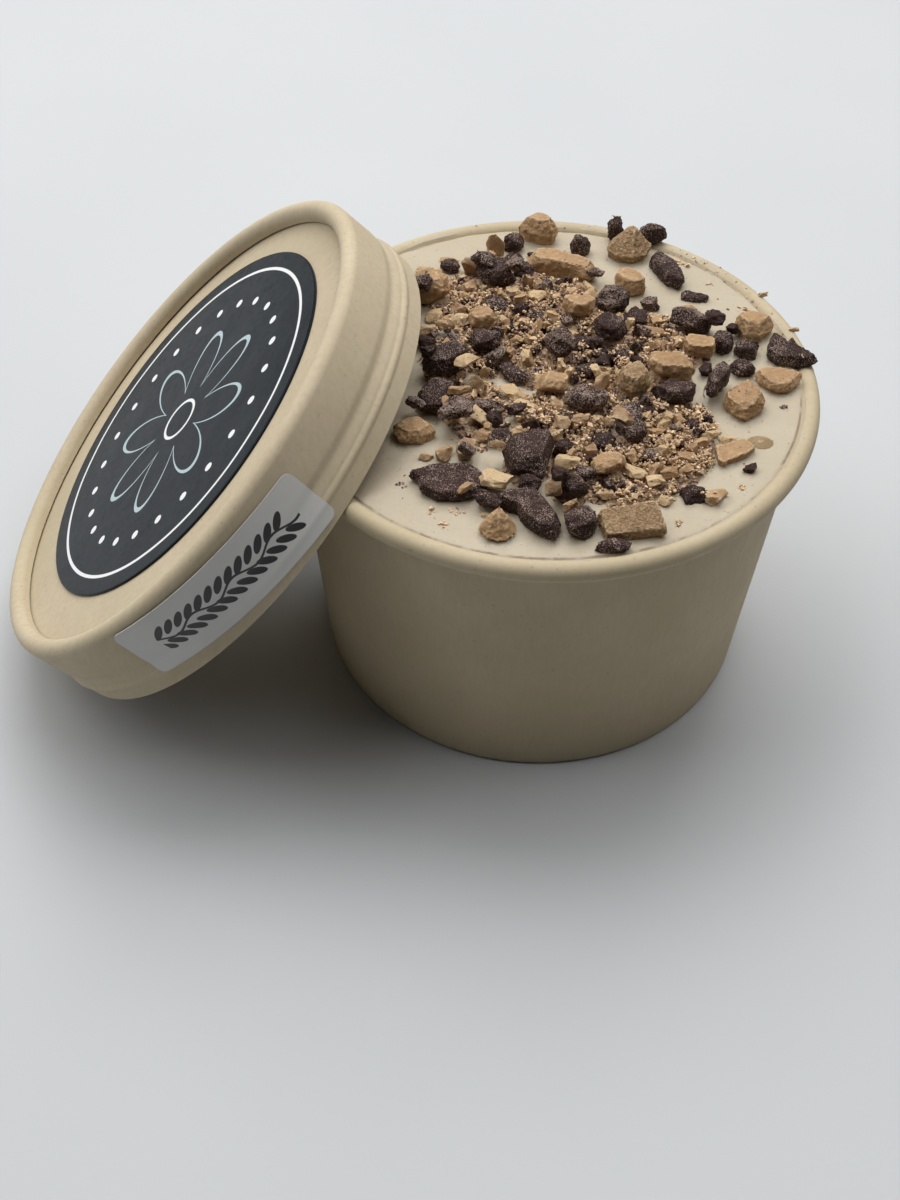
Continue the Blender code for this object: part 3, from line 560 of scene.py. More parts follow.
class Ground:
    """Height of the topmost surface over the cup, on a square grid round its axis."""

    CELL = 0.25
    HALF = 60.0

    def __init__(self):
        side = np.arange(-self.HALF, self.HALF, self.CELL) + self.CELL / 2
        self.x, self.y = np.meshgrid(side, side, indexing="ij")
        reach = np.hypot(self.x, self.y)
        bead = np.sqrt(np.clip(BEAD_RADIUS ** 2 - (reach - RIM_RADIUS + BEAD_RADIUS) ** 2, 0, None))
        self.height = np.where(reach < FILL_EDGE, TOP - scraped_dip(self.x, self.y), BEAD_HEIGHT + bead)
        self.height[reach > RIM_RADIUS] = 0
        self.clean = np.zeros(self.height.shape, bool)

    def index(self, value):
        return int((value + self.HALF) / self.CELL)

    def cells(self, x, y):
        """The cells of many places."""
        return ((x + self.HALF) / self.CELL).astype(int), ((y + self.HALF) / self.CELL).astype(int)

    def cover(self, points, clean):
        """Raises the surface to a dense set of points, and marks what it raises as clean or not."""
        before = self.height.copy()
        for dx, dy in ((-0.08, -0.08), (-0.08, 0.08), (0.08, -0.08), (0.08, 0.08)):
            np.maximum.at(self.height, self.cells(points[:, 0] + dx, points[:, 1] + dy), points[:, 2])
        self.clean[self.height > before + 0.3] = clean

    def closeness(self, x, y):
        """How near each place is to something that lies on the gelato, from 0 to 1."""
        near = (self.height > TOP + 0.4).astype(float)
        near[np.hypot(self.x, self.y) > 52.5] = 0
        for _ in range(6):
            for axis in (0, 1):
                near = (np.roll(near, 1, axis) + near + np.roll(near, -1, axis)) / 3
        return near[self.cells(x, y)]

    def window(self, x, y, a, b):
        """The cells under an ellipse, and each cell's share of the ellipsoid's height there."""
        cells = (slice(max(self.index(x - a), 0), self.index(x + a) + 1),
                 slice(max(self.index(y - b), 0), self.index(y + b) + 1))
        square = ((self.x[cells] - x) / a) ** 2 + ((self.y[cells] - y) / b) ** 2
        return cells, np.sqrt(np.clip(1 - square, 0, 1))

    def rest(self, x, y, a, b, c):
        """The lowest height of the middle of an ellipsoid that touches the surface."""
        cells, dome = self.window(x, y, a, b)
        inside = dome > 0.25
        if not inside.any():
            return self.height[self.index(x), self.index(y)] + c
        return (self.height[cells] + c * dome)[inside].max()

    def settle(self, points, sunk):
        """The height at which a piece lies on the surface, with a share of its underside sunk in."""
        under = points[points[:, 2] < 0]
        return float(np.quantile(self.height[self.cells(under[:, 0], under[:, 1])] - under[:, 2], 1 - sunk))

    def add(self, x, y, z, a, b, c, clean):
        """Raises the surface to an ellipsoid."""
        cells, dome = self.window(x, y, a, b)
        top = z + c * dome
        higher = (dome > 0) & (top > self.height[cells])
        self.height[cells][higher] = top[higher]
        if clean:
            self.clean[cells][higher & (dome > 0.3)] = True

    def stands_out(self, x, y, reach):
        """How far a place stands above the mean height round it."""
        cells, _ = self.window(x, y, reach, reach)
        return self.height[self.index(x), self.index(y)] - self.height[cells].mean()


def random_directions(count, rng):
    """Random unit vectors."""
    vectors = [Vector([rng.gauss(0, 1) for _ in range(3)]) for _ in range(count)]
    return [vector.normalized() for vector in vectors]


def cut(bm, out, share):
    """Cuts a convex solid open with a plane at a share of its reach in a direction, and gives the cut's edges."""
    reach = max(vert.co.dot(out) for vert in bm.verts)
    result = bmesh.ops.bisect_plane(bm, geom=bm.verts[:] + bm.edges[:] + bm.faces[:], plane_co=out * reach * share,
                                    plane_no=out, clear_outer=True)
    return [part for part in result["geom_cut"] if isinstance(part, bmesh.types.BMEdge)]


def cut_block(bm, cuts, depths, rng):
    """Breaks pieces off a convex solid with random planes, each at a share of its reach that way."""
    for out in random_directions(cuts, rng):
        bmesh.ops.contextual_create(bm, geom=cut(bm, out, rng.uniform(*depths)))


def melted(lobes, make):
    """Several bodies in one bmesh."""
    whole = bmesh.new()
    for _ in range(lobes):
        lobe = make()
        part = bpy.data.meshes.new("lobe")
        lobe.to_mesh(part)
        lobe.free()
        whole.from_mesh(part)
        bpy.data.meshes.remove(part)
    return whole


def arrays(bm):
    """A bmesh's points, and its faces as tuples, in triangles. The bmesh is used up."""
    bmesh.ops.triangulate(bm, faces=bm.faces)
    bm.verts.index_update()
    points = np.array([vert.co for vert in bm.verts])
    faces = [tuple(vert.index for vert in face.verts) for face in bm.faces]
    bm.free()
    return points, faces


def even_skin(bm, voxel, easing=0):
    """An even mesh round a bmesh's bodies, which it melts into one and eases: points, normals and faces."""
    mesh = bpy.data.meshes.new("lump")
    bmesh.ops.recalc_face_normals(bm, faces=bm.faces)
    bm.to_mesh(mesh)
    bm.free()
    thing = add_object("lump", mesh)
    skin = thing.modifiers.new("Skin", "REMESH")
    skin.mode = "VOXEL"
    skin.voxel_size = voxel
    if easing:
        ease = thing.modifiers.new("Ease", "SMOOTH")
        ease.iterations = easing
    even = thing.evaluated_get(bpy.context.evaluated_depsgraph_get()).to_mesh()
    points = np.array([vert.co for vert in even.vertices])
    normals = np.array([vert.normal for vert in even.vertices])
    faces = [tuple(face.vertices) for face in even.polygons]
    bpy.data.objects.remove(thing)
    bpy.data.meshes.remove(mesh)
    return points, normals, faces


@dataclass
class Relief:
    """How a broken surface looks: lobes that a piece is made of, how deeply each is cut, and its bumps.

    The bumps are rows of (depth in mm, features per mm), and the dents are scooped out at random spots.
    """

    lobes: int
    cuts: int
    depths: tuple
    bumps: tuple
    dents: int
    dent_depth: float

    def roughen(self, points, normals, rng):
        """Moves the points along their normals by the bumps and dents."""
        sample = points + [rng.uniform(-500, 500) for _ in range(3)]
        move = np.zeros(len(points))
        for depth, scale in self.bumps:
            move += depth * waver(*sample.T, scale)
        size = (points.max(0) - points.min(0)).min() / 2
        for direction in random_directions(self.dents, rng):
            spot = points[np.argmax(points @ np.array(direction))]
            width = rng.uniform(0.4, 0.9) * size
            near = np.exp(-((points - spot) ** 2).sum(1) / width ** 2)
            move -= self.dent_depth * rng.uniform(0.4, 1.0) * near
        return points + normals * move[:, None]


CHOCOLATE_RELIEF = Relief(2, 12, (0.58, 0.95), ((0.12, 0.35), (0.16, 0.9), (0.16, 2.2)), 2, 0.3)
PEANUT_RELIEF = Relief(1, 10, (0.62, 0.95), ((0.40, 0.22), (0.20, 0.8), (0.15, 2.0)), 4, 0.5)
CRUSTED_RELIEF = Relief(1, 6, (0.80, 0.97), ((0.30, 0.30), (0.18, 1.1), (0.14, 2.2)), 2, 0.3)

def numbers(rows):
    """The numbers in each row of a table that is kept as text."""
    return {key: [float(n) for n in text.split()] for key, text in rows.items()}


# Forms read from the photograph: the top's share of the girth, how far the top is shifted in x and y, its
# lean, and x and y of the outline's corners seen from above, all as shares of half the piece's box
FORMS = numbers({
    "chocolate_chunk_16":
        ".93 0 .05 0 -1.1 .25 -.55 .85 -.1 .95 .35 1 .8 .6 1.05 .1 .62 -.75 .3 -1 -.3 -1 -.76 -.6 -.84 -.05",
    "chocolate_chunk_18":
        ".78 0 0 0 -1 .62 -.7 .88 -.4 .9 -.22 1 .2 1 .5 .6 .75 .15 1 -.2 1 -.62 .9 -1 .5 -.92 .1 -.62 -.15 -.25 -.3 "
        ".1 -.6 .2 -.95 .4",
    "chocolate_chunk_17":
        ".66 .1 .1 0 -.94 .36 -.55 .53 .29 .96 .8 1 1 .7 .9 .02 .8 -.49 .68 -1 -.03 -.83 -.68 -.75 -.94 -.32 -1 .02",
    "chocolate_chunk_06":
        ".85 -.05 .05 .3 -.72 1.1 -.29 .7 -.08 .3 .14 .8 .39 .1 1.15 -.55 .88 -.9 .14 -1 -.6 -.9 -1 -.4 -.9 .36",
    "chocolate_chunk_04": ".8 0 0 0 -.55 1 -.1 .68 .44 .2 .9 -.28 1 -.68 .74 -1 -.02 -.76 -.62 -.12 -1 .44",
    "chocolate_chunk_05": ".75 0 0 0 -1 .4 -.7 1 0 .75 1 -.1 .6 -.9 -.2 -1 -.9 -.5",
    "chocolate_chunk_10": ".75 0 0 0 .27 1 .9 .73 .73 .18 0 -.55 -.45 -1 -1 -.73 -.82 0 -.36 .64",
    "chocolate_chunk_13": ".78 0 0 0 -.9 0 -.3 .6 .4 1 .95 .5 1 -.1 .3 -.9 -.6 -1 -1 -.6",
    "peanut_chunk_12": ".08 0 .5 0 -1 -.1 -.85 .35 -.45 .8 0 1 .5 .75 .95 .3 1 -.25 .6 -.75 .05 -1 -.6 -.8",
    "peanut_chunk_13": ".93 0 0 .55 .62 1 .74 .93 1 -.25 .97 -.42 -.6 -1 -.74 -.94 -1 .25 -.96 .42",
    "peanut_chunk_10": ".82 0 .1 .4 -1 0 -.75 .55 -.3 .9 .15 1 .7 .8 1 .2 .9 -.15 .45 -.6 -.05 -1 -.5 -.65 -.95 -.3",
    "peanut_chunk_14": ".93 0 0 0 -1 .3 .47 1 1 .4 .62 -.1 -.65 -1 -.92 -.7",
    "peanut_chunk_09": ".85 0 .15 0 -1 .6 -.6 1 .3 .95 1 .7 .85 0 .4 -.7 -.1 -1 -.5 -.8 -.9 -.1",
    "peanut_chunk_05": ".7 -.05 .1 0 -.9 .75 -.08 1 .46 .75 1 .33 .77 -.28 .3 -1 -.38 -.9 -.7 -.33 -1 .22",
    "peanut_chunk_06": ".86 0 0 0 -1 .3 -.8 .9 .9 1 1 .2 .9 -.8 .2 -1 -.8 -.8",
    "peanut_chunk_01": ".55 0 .1 0 -1 0 -.68 .68 -.2 1 .28 .95 .76 .42 1 -.13 .84 -.93 .12 -1 -.68 -.4",
    "peanut_chunk_03":
        ".72 0 .05 0 -.87 .66 -.48 1 -.22 .79 .04 .38 .39 .24 .74 .03 1 -.31 .96 -.72 .78 -1 .26 -.86 -.26 -.62 "
        "-.83 -.31 -1 .03",
    "peanut_chunk_04": ".82 -.05 .1 0 -.95 .9 -.1 1 .6 .7 1 .3 .9 -.6 .2 -1 -.5 -.7 -1 -.1",
    "peanut_chunk_02": ".3 .1 .3 0 -.95 .1 -.6 .7 .05 1 .7 .55 1 .1 .75 -.6 .2 -1 -.5 -.85 -1 -.35",
    "peanut_chunk_11": ".65 0 .05 0 -1 .2 -.4 .9 .3 1 .85 .5 1 -.1 .5 -.8 -.2 -1 -.8 -.7",
})
FOOT_RING = (-1.0, 0.88)
WIDE_RING = (-0.1, 1.0)
TOP_PLAY = 0.14


def form_block(form, half, rng):
    """A block with one of the forms: its foot, its widest girth and its top, whose corners rise unevenly."""
    top, *shift, lean = form[:4]
    outline = list(zip(form[4::2], form[5::2]))
    bm = bmesh.new()
    rings = []
    wide = WIDE_RING if top > 0.2 else (-0.6, 1.0)
    for rise, share, (dx, dy) in ((*FOOT_RING, (0, 0)), (*wide, (0, 0)), (1.0, top, shift)):
        ring = []
        for x, y in outline:
            play = rng.uniform(-TOP_PLAY, TOP_PLAY) * (share == top or share == 1.0)
            z = rise + play + lean * y * (rise > FOOT_RING[0])
            ring.append(bm.verts.new(((x * share + dx) * half[0], (y * share + dy) * half[1], z * half[2])))
        rings.append(ring)
    bm.faces.new(rings[0])
    bm.faces.new(rings[-1])
    for low, high in zip(rings, rings[1:]):
        for k in range(len(outline)):
            n = (k + 1) % len(outline)
            bm.faces.new((low[k], low[n], high[n], high[k]))
    bmesh.ops.recalc_face_normals(bm, faces=bm.faces)
    if 0.6 < top < 0.84:
        for out in random_directions(5, rng):
            bmesh.ops.holes_fill(bm, edges=cut(bm, out, rng.uniform(0.8, 0.95)), sides=0)
    bmesh.ops.triangulate(bm, faces=bm.faces)
    return bm


def chunk_points(node, relief, rng):
    """The points and faces of a broken piece that stands for a CAD solid and fills its box."""
    corners = np.array([vert.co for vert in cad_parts[node].data.vertices])
    corners = (corners - np.array(CUP_AXIS)) / MM
    middle = (corners.min(0) + corners.max(0)) / 2
    corners -= middle

    def lobe():
        bm = bmesh.new()
        for corner in corners:
            bm.verts.new(corner)
        bmesh.ops.convex_hull(bm, input=bm.verts)
        bmesh.ops.dissolve_limit(bm, angle_limit=0.02, verts=bm.verts, edges=bm.edges)
        cut_block(bm, relief.cuts, relief.depths, rng)
        return bm

    whole = form_block(FORMS[node], corners.max(0), rng) if node in FORMS else melted(relief.lobes, lobe)
    points, normals, faces = even_skin(whole, CHUNK_VOXEL, 0 if "chocolate" in node else 2)
    points = relief.roughen(points, normals, rng)
    low, high = points.min(0), points.max(0)
    wanted = corners.max(0) - corners.min(0)
    points = (points - (low + high) / 2) * (wanted / (high - low)) + middle
    return points - np.array((0, 0, CHUNK_SINK)), faces


CHUNK_VOXEL = 0.25
DUSTY = ("chocolate_chunk_12", "chocolate_chunk_25", "chocolate_chunk_27", "chocolate_chunk_26", "chocolate_chunk_11")
# Peanut pieces with pale sugar grains, on tints darkened as painted shade
SUGARED_SHADED = ("peanut_chunk_13", "peanut_chunk_02", "peanut_chunk_08")


def build_chunks(finishes, ground, rng):
    """The pieces as large as berries, one for each CAD piece."""
    for node in sorted(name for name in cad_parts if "_chunk_" in name):
        kind = node.split("_")[0]
        coated = node in DUSTY or node in SUGARED_SHADED
        if kind == "chocolate":
            relief, slot = CHOCOLATE_RELIEF, "chocolate"
        else:
            relief, slot = (CRUSTED_RELIEF if coated else PEANUT_RELIEF), "peanut_butter_pieces"
        points, faces = chunk_points(node, relief, rng)
        ground.cover(points, not coated)
        finish = finishes[kind + ("_dusted" if coated else "")]
        add_mesh(node.replace("chunk", "piece"), points, faces, finish, slot, replaces=[node])


def heap_share(x, y):
    """A place's distance from the heap's middle, as a share of the heap's reach in that direction."""
    dx, dy = x - HEAP_MIDDLE[0], y - HEAP_MIDDLE[1]
    step = 2 * math.pi / len(HEAP_REACH)
    place = np.mod(np.arctan2(dy, dx) / step, len(HEAP_REACH))
    low = np.floor(place).astype(int)
    share = place - low
    share = share * share * (3 - 2 * share)
    reach = np.array(HEAP_REACH)
    low = low % len(HEAP_REACH)
    edge = (1 - share) * reach[low] + share * reach[(low + 1) % len(HEAP_REACH)]
    return np.hypot(dx, dy) / edge


# Where small pieces and crumbs lie: x, y, half width, half depth, weight, share of peanut butter
FIELDS = (
    (4.0, -13.0, 11.0, 5.5, 3.2, 0.85), (26.0, -18.0, 9.5, 11.0, 3.2, 0.78), (17.0, -33.0, 10.0, 4.5, 1.6, 0.7),
    (-4.0, 22.0, 16.0, 9.0, 1.5, 0.7), (-18.0, 24.0, 8.0, 12.0, 1.0, 0.6), (-2.0, 5.0, 16.0, 8.0, 1.2, 0.5),
    (20.0, 12.0, 12.0, 10.0, 1.4, 0.5), (-14.0, -14.0, 8.0, 10.0, 0.4, 0.65), (7.0, -23.0, 13.0, 7.0, 1.4, 0.6),
    (-6.0, 34.0, 11.0, 7.0, 0.6, 0.5), (18.0, -4.0, 10.0, 8.0, 1.4, 0.7), (-20.0, 4.0, 6.0, 8.0, 0.7, 0.5),
)


def chunk_beds():
    """Where the core carries a large piece that lies above the gelato: x, y, half width, half depth, height."""
    beds = []
    for node in sorted(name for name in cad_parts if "_chunk_" in name):
        low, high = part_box(node)
        bottom = low.z / MM - CHUNK_SINK - TOP
        if bottom > 0.4:
            middle = ((low + high) / 2 - CUP_AXIS) / MM
            half = (high - low) / 2 / MM
            beds.append((middle.x, middle.y, BED_SHARE * half.x, BED_SHARE * half.y, bottom + 0.6))
    return beds


BED_SHARE = 0.8
BEDS = chunk_beds()


def core_height(x, y):
    """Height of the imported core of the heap: low mounds where crumbs lie, and a bed under each large piece."""
    mound = np.full(x.shape, CORE_FOOT)
    for middle_x, middle_y, half_x, half_y, _, _ in FIELDS:
        far = ((x - middle_x) / half_x) ** 2 + ((y - middle_y) / half_y) ** 2
        mound = np.maximum(mound, CORE_RISE * (1.2 - far))
    mound += 0.35 * waver(x, y, 0 * x, 0.35)
    for middle_x, middle_y, half_x, half_y, rise in BEDS:
        far = ((x - middle_x) / half_x) ** 2 + ((y - middle_y) / half_y) ** 2
        mound = np.maximum(mound, rise * (1.15 - 0.5 * far ** 2))
    lumps = 0.3 * waver(x, y, 0 * x + 9, 0.9) + 0.2 * waver(x, y, 0 * x + 4, 2.0)
    return TOP + np.maximum(mound + lumps, CORE_FOOT)


def heap_top(x, y):
    """The level to which the heap is filled at a place."""
    share = min(float(heap_share(np.array([x]), np.array([y]))[0]), 1.2)
    return TOP + HEAP_EDGE + HEAP_RISE * (1 - share ** 3)


def build_core(finish, ground):
    """The heap's core, a low solid of packed crumbs."""
    rings, columns = 80, 260
    share = np.linspace(1.0, 0.0, rings + 1)[:-1]
    angles = np.arange(columns) * 2 * math.pi / columns
    theta = np.repeat(angles[None, :], rings, 0)
    probe = 1 / heap_share(HEAP_MIDDLE[0] + np.cos(angles), HEAP_MIDDLE[1] + np.sin(angles))
    reach = share[:, None] * probe[None, :]
    x, y = HEAP_MIDDLE[0] + reach * np.cos(theta), HEAP_MIDDLE[1] + reach * np.sin(theta)
    height = core_height(x, y)
    points = np.stack((x, y, height), 2).reshape(-1, 3)
    foot = points[:columns].copy()
    foot[:, 2] = TOP - 2.2
    middle_top = (*HEAP_MIDDLE, float(core_height(np.array([HEAP_MIDDLE[0]]), np.array([HEAP_MIDDLE[1]]))[0]))
    middle_low = (*HEAP_MIDDLE, TOP - 2.2)
    every = np.vstack((foot, points, [middle_low, middle_top]))
    faces = grid_faces(rings + 1, columns, False)
    last = rings * columns
    low, top = len(every) - 2, len(every) - 1
    for c in range(columns):
        n = (c + 1) % columns
        faces.append((last + c, last + n, top))
        faces.append((n, c, low))
    add_mesh("heap_core", every, faces, finish, "mixed_crumbs", replaces=["topping_heap"])
    inside = heap_share(ground.x, ground.y) < 1
    ground.height[inside] = np.maximum(ground.height[inside], core_height(ground.x[inside], ground.y[inside]))


SUNK_SHARE = 0.15


class Scatter:
    """Broken pieces of one kind joined in one mesh: copies of a few base shapes, each at its rest."""

    def __init__(self, shapes):
        self.shapes = []
        for points, faces in shapes:
            low, high = points.min(0), points.max(0)
            self.shapes.append(((points - (low + high) / 2) / ((high - low) / 2), np.array(faces)))
        self.points = []
        self.faces = []
        self.count = 0

    def drop(self, ground, place, size, turn, lean, sink, rng, clean=False, ceiling=None):
        """Sets down one base shape at a size (width, depth, height), turned about Z and leaning.

        Under a ceiling, a piece that would end up over it, or hang on a taller neighbour, is left out.
        """
        shape, faces = rng.choice(self.shapes)
        turned = Matrix.Rotation(turn, 3, "Z") @ Matrix.Rotation(lean, 3, "X")
        points = (shape * (np.array(size) / 2)) @ np.array(turned).T
        a, b, c = np.abs(points).max(0)
        level = ground.settle(points + np.array((*place, 0)), SUNK_SHARE)
        z = min(ground.rest(*place, a, b, c), level) - sink * 2 * c
        floor = ground.height[ground.index(place[0]), ground.index(place[1])]
        if ceiling and (z > ceiling or z - c > floor + 0.5 * c):
            return
        ground.add(*place, z, a, b, c, clean)
        self.points.append(points + np.array((*place, z)))
        self.faces.append(faces + self.count)
        self.count += len(points)

    def build(self, name, finish, slot, crease):
        faces = np.vstack(self.faces).tolist()
        add_mesh(name, np.vstack(self.points), faces, finish, slot, crease=crease)


def random_block(rng):
    """An oblong block, turned at random."""
    bm = bmesh.new()
    sides = Matrix.Diagonal([rng.uniform(0.6, 1.4) for _ in range(3)] + [1])
    turn = random_directions(1, rng)[0].to_track_quat("Z", "Y").to_matrix().to_4x4()
    bmesh.ops.create_cube(bm, size=2.0, matrix=turn @ sides)
    return bm


def broken_bits(count, cuts, bevel, play, rng):
    """Base shapes of broken bits: cut blocks with blunted edges, and facets that aren't quite flat."""
    shapes = []
    for _ in range(count):
        bm = random_block(rng)
        cut_block(bm, cuts, (0.38, 0.85), rng)
        bmesh.ops.remove_doubles(bm, verts=bm.verts, dist=0.03)
        bmesh.ops.dissolve_limit(bm, angle_limit=0.02, verts=bm.verts, edges=bm.edges)
        if bevel:
            bmesh.ops.bevel(bm, geom=bm.edges[:], offset=bevel, segments=2, profile=0.5, affect="EDGES",
                            clamp_overlap=True)
        if play:
            bmesh.ops.triangulate(bm, faces=bm.faces)
            bmesh.ops.subdivide_edges(bm, edges=[edge for edge in bm.edges if edge.calc_length() > 0.5], cuts=2)
            bmesh.ops.triangulate(bm, faces=bm.faces)
            shift = random_directions(1, rng)[0] * 50
            for vert in bm.verts:
                coarse, fine = vert.co * 1.3 + shift, vert.co * 3.6 - shift
                vert.co += play * noise.noise_vector(coarse) + 0.45 * play * noise.noise_vector(fine)
        shapes.append(arrays(bm))
    return shapes


def rough_bits(count, relief, voxel, rng):
    """Base shapes of larger broken bits: melted cut blocks with relief."""
    def lobe():
        bm = random_block(rng)
        cut_block(bm, relief.cuts, relief.depths, rng)
        return bm

    shapes = []
    for _ in range(count):
        points, normals, faces = even_skin(melted(relief.lobes, lobe), voxel)
        points = relief.roughen(points, normals, rng)
        shapes.append((points, [tri for face in faces for tri in (face[:3], (face[0], face[2], face[3]))]))
    return shapes


CHOCOLATE_BITS = Relief(2, 9, (0.40, 0.85), ((0.14, 1.2), (0.10, 3.0)), 3, 0.2)


def rows_of(text):
    """The rows of numbers in a table that is kept as text, with commas between rows."""
    return [[float(n) for n in row.split()] for row in text.split(",")]


# Broken pieces of middle size that the photograph shows, in mm on the cup:
# x, y, width, depth, height, turn and lean in degrees
PEANUT_SHARDS = rows_of("""
    -13.4 42.6 4.2 4 6.8 20 10, -18.4 33.6 4.2 3.4 7 0 25, -13.8 38.6 2.6 2.2 4.6 0 10, -5.2 28.6 2.6 2.4 4.4 0 0,
    -3 24.8 4.8 3.8 2.4 25 20, -7.6 25.2 4.4 2.2 2.4 15 0, 1.9 25.6 3 3.2 2 40 0, -18 26 4.6 4.2 3.4 60 10,
    -18 15 5.2 3.6 3 0 0, -21.6 14.6 4.2 3 2.6 10 0, -8 14.2 4.6 3.2 2.6 30 0, 4.4 14 4.8 4 2.6 0 10,
    -8.4 3.6 3.2 3.4 3 50 10, -16.4 -3.4 5.8 4.6 2.6 20 0, -13.8 -7.6 4.2 3.8 4.6 0 0, -6.2 -8.4 5.8 4.6 3.4 0 0,
    -3.6 -12.6 5.4 3.6 3 -20 10, -17.2 -12.4 5 2.2 2.6 20 0, -18.4 -16.6 3.2 6.6 3.4 30 20,
    -12.8 -17 5.6 3.4 2.8 -35 0, -11.6 -21.6 4 2.8 2.6 0 0, -14.6 -26.4 5.2 5.4 4 -50 25,
    -18.8 -27.4 4.2 3.2 3.4 40 0, -22.6 -28.2 3.2 1.8 1.6 0 0, -8.6 -28.8 3.6 2.8 2 20 0,
    -8.4 -35.6 6.8 4.6 2.6 -10 10, -14 -38.8 3.8 1.6 1.6 30 0, -4 -18.6 3.2 4.2 2.8 40 0, -4.6 -15.6 2.4 2.2 2.4 0 0,
    5.6 -28.6 5.4 3.8 3 0 10, 3 -39.4 3.4 2.6 4.2 0 0, 6.4 -42.2 2.2 4.2 2 -25 10, 15.8 -19.4 5.2 3.4 2.6 -30 0,
    18.6 -30.4 5.6 3.8 2.6 -10 0, 23 -32.4 4.6 3.4 2.4 10 0, 25.4 -28.6 5.2 3.2 2.4 25 0,
    28.6 -24.4 4.8 3.4 2.4 -30 0, 34.6 -34 5.4 4.2 2.6 35 0, 32 -19.8 4.6 2.6 1.8 60 0, 34.2 -18.2 4.2 2.4 1.8 15 0,
    22.6 -18 5.4 2.6 2 10 0, 27.6 -13.6 3.6 2.6 2.2 -40 0, 12.2 .4 4 3.4 3.4 20 0, 10.6 -1.6 3.2 3 3 0 0,
    22.4 14.4 5.4 3.8 2.6 0 0, 17.2 12.8 2.2 2.8 2.6 0 0, 23.2 18.8 3 3.4 2.6 0 0, 30.4 25.2 4 3 2.2 0 0,
    -27.6 33 6.4 3.2 2.4 -10 0, -23.4 38.6 4.8 2.2 1.2 10 0, -25.4 11.8 4.6 3.4 2.6 0 0, -24.8 16.6 4.2 3 2.8 0 0,
    8.4 31.4 4.2 2.4 1.8 -30 0, 13 -36.4 3.6 2.4 2 20 0, 9.6 -25 3.4 3 2.6 0 0, 37.6 -17.2 3.6 2.6 1.6 0 0,
    -9.6 -43.4 2.2 1.4 1.2 0 0, 1.2 43.2 4.8 2.2 2 20 0, 24.8 -36.4 3.2 2.6 2.2 0 0
""")
CHOCOLATE_SHARDS = rows_of("""
    21.8 25.4 4.6 4.2 3.8 0 0, -6.8 -1.6 8.2 4 2.6 -30 10, 4.2 -38 4 3.4 3.6 0 10, -15.4 30.6 5.6 5 3.8 0 0,
    -11.8 21 5.6 5 3.6 0 0, -17.6 38.8 3.4 3 2.6 0 0, -9.4 39.4 5 4.2 3.2 30 0, -6.4 33.8 4.8 4.6 3 0 0,
    -8.4 29.8 4.2 3.6 3 0 0, 30.2 -34.2 4.8 4.6 3 30 0, 17.4 -15.4 5.4 5.2 3.4 0 10, -11.6 -13.4 7.2 3.8 2.8 -10 0,
    -5.6 -14.6 4.6 3.6 2.6 0 0, -17.6 -18.4 7.4 5.2 3.4 10 0, -8.2 -22.4 5.2 4.6 3.4 0 0, -14.4 -29 3.6 3 3.4 0 0,
    -9.4 -41 6.2 4 2.8 -15 0, -1.6 -36.4 4.6 3.4 2.6 0 0, 20.8 -12 4.6 4 3 40 0, 12.4 -22.2 5 4.2 2.8 0 0,
    22 -24.6 4.2 3.8 2.8 0 0, 41.6 -25.4 3.4 2.6 1.8 30 0, 30.4 -14.8 3.2 2.6 2 0 0, -25.8 6.8 4.2 4.4 3.4 0 0,
    -20.4 8.2 4.8 3.8 2.8 0 0, 7 9.8 5.6 4.2 3 20 0, 12 6.4 5.8 4.4 3 0 0, 18.4 19.4 5.6 5.2 3.4 0 0,
    8.4 .6 4.4 3 2.4 -35 0, -2.6 17.4 5.2 3 2.6 0 0, -6.4 19.4 4.4 3 2.8 25 0, 35.4 17.2 4.6 3.8 2.6 0 0,
    -27.6 21 3.8 3.4 3 0 0, -24.6 -2.6 3.6 3.2 3 0 0, -25.8 -15.4 4.4 3.4 3 0 0, 9.6 33.4 4 2.2 1.8 -20 0,
    4.4 -24.6 4.2 4 3 0 0, 9.2 -33 4.4 3.6 3 0 0, 25.8 6.4 3.8 3 2.8 0 0, 33.6 4.2 3.4 4.6 2.8 0 0,
    39.4 16.8 3.2 2.8 2.4 0 0, -4.6 42.2 2.8 2.2 1.8 0 0
""")

DUST_FIELDS = 3
SMALL_SHARE = 0.3


def random_place(rng, spread, dusty):
    """A random place in one of the fields, and the field's share of peanut butter.

    The first fields hold dust more than small pieces.
    """
    weights = [row[4] * row[2] * row[3] * (1 if dusty or k >= DUST_FIELDS else SMALL_SHARE)
               for k, row in enumerate(FIELDS)]
    field = rng.choices(FIELDS, weights=weights)[0]
    angle = rng.random() * 2 * math.pi
    reach = math.sqrt(rng.random()) * spread
    return field[0] + field[2] * reach * math.cos(angle), field[1] + field[3] * reach * math.sin(angle), field[5]


def in_heap(x, y, limit):
    return float(heap_share(np.array([x]), np.array([y]))[0]) < limit


# Crumbs stuck in the bare gelato, a piece sunk in it, and slivers on the rim: x, y, width, depth
CRUMBS = (
    (28.4, 42.4, 2.6, 2.2), (-20.2, -43.0, 2.2, 1.6), (-15.4, -42.2, 2.4, 1.4),
    (27.0, -41.2, 1.6, 2.0), (42.6, 26.8, 1.8, 1.6), (49.4, -5.6, 1.6, 1.4), (40.0, -30.2, 1.8, 1.4),
    (35.4, 35.4, 1.6, 1.4), (-26.8, -35.6, 2.2, 1.2), (-17.8, -46.0, 1.6, 1.2), (33.0, -34.8, 1.8, 1.5),
)
SUNK_PIECE = (44.2, -16.8, 6.0, 4.4)
RIM_SLIVERS = ((47.0, 32.0, 2.6, 1.0, 1.6, 30), (53.0, 20.0, 2.4, 0.9, 1.2, 10))
RIM_SPECKS = 90

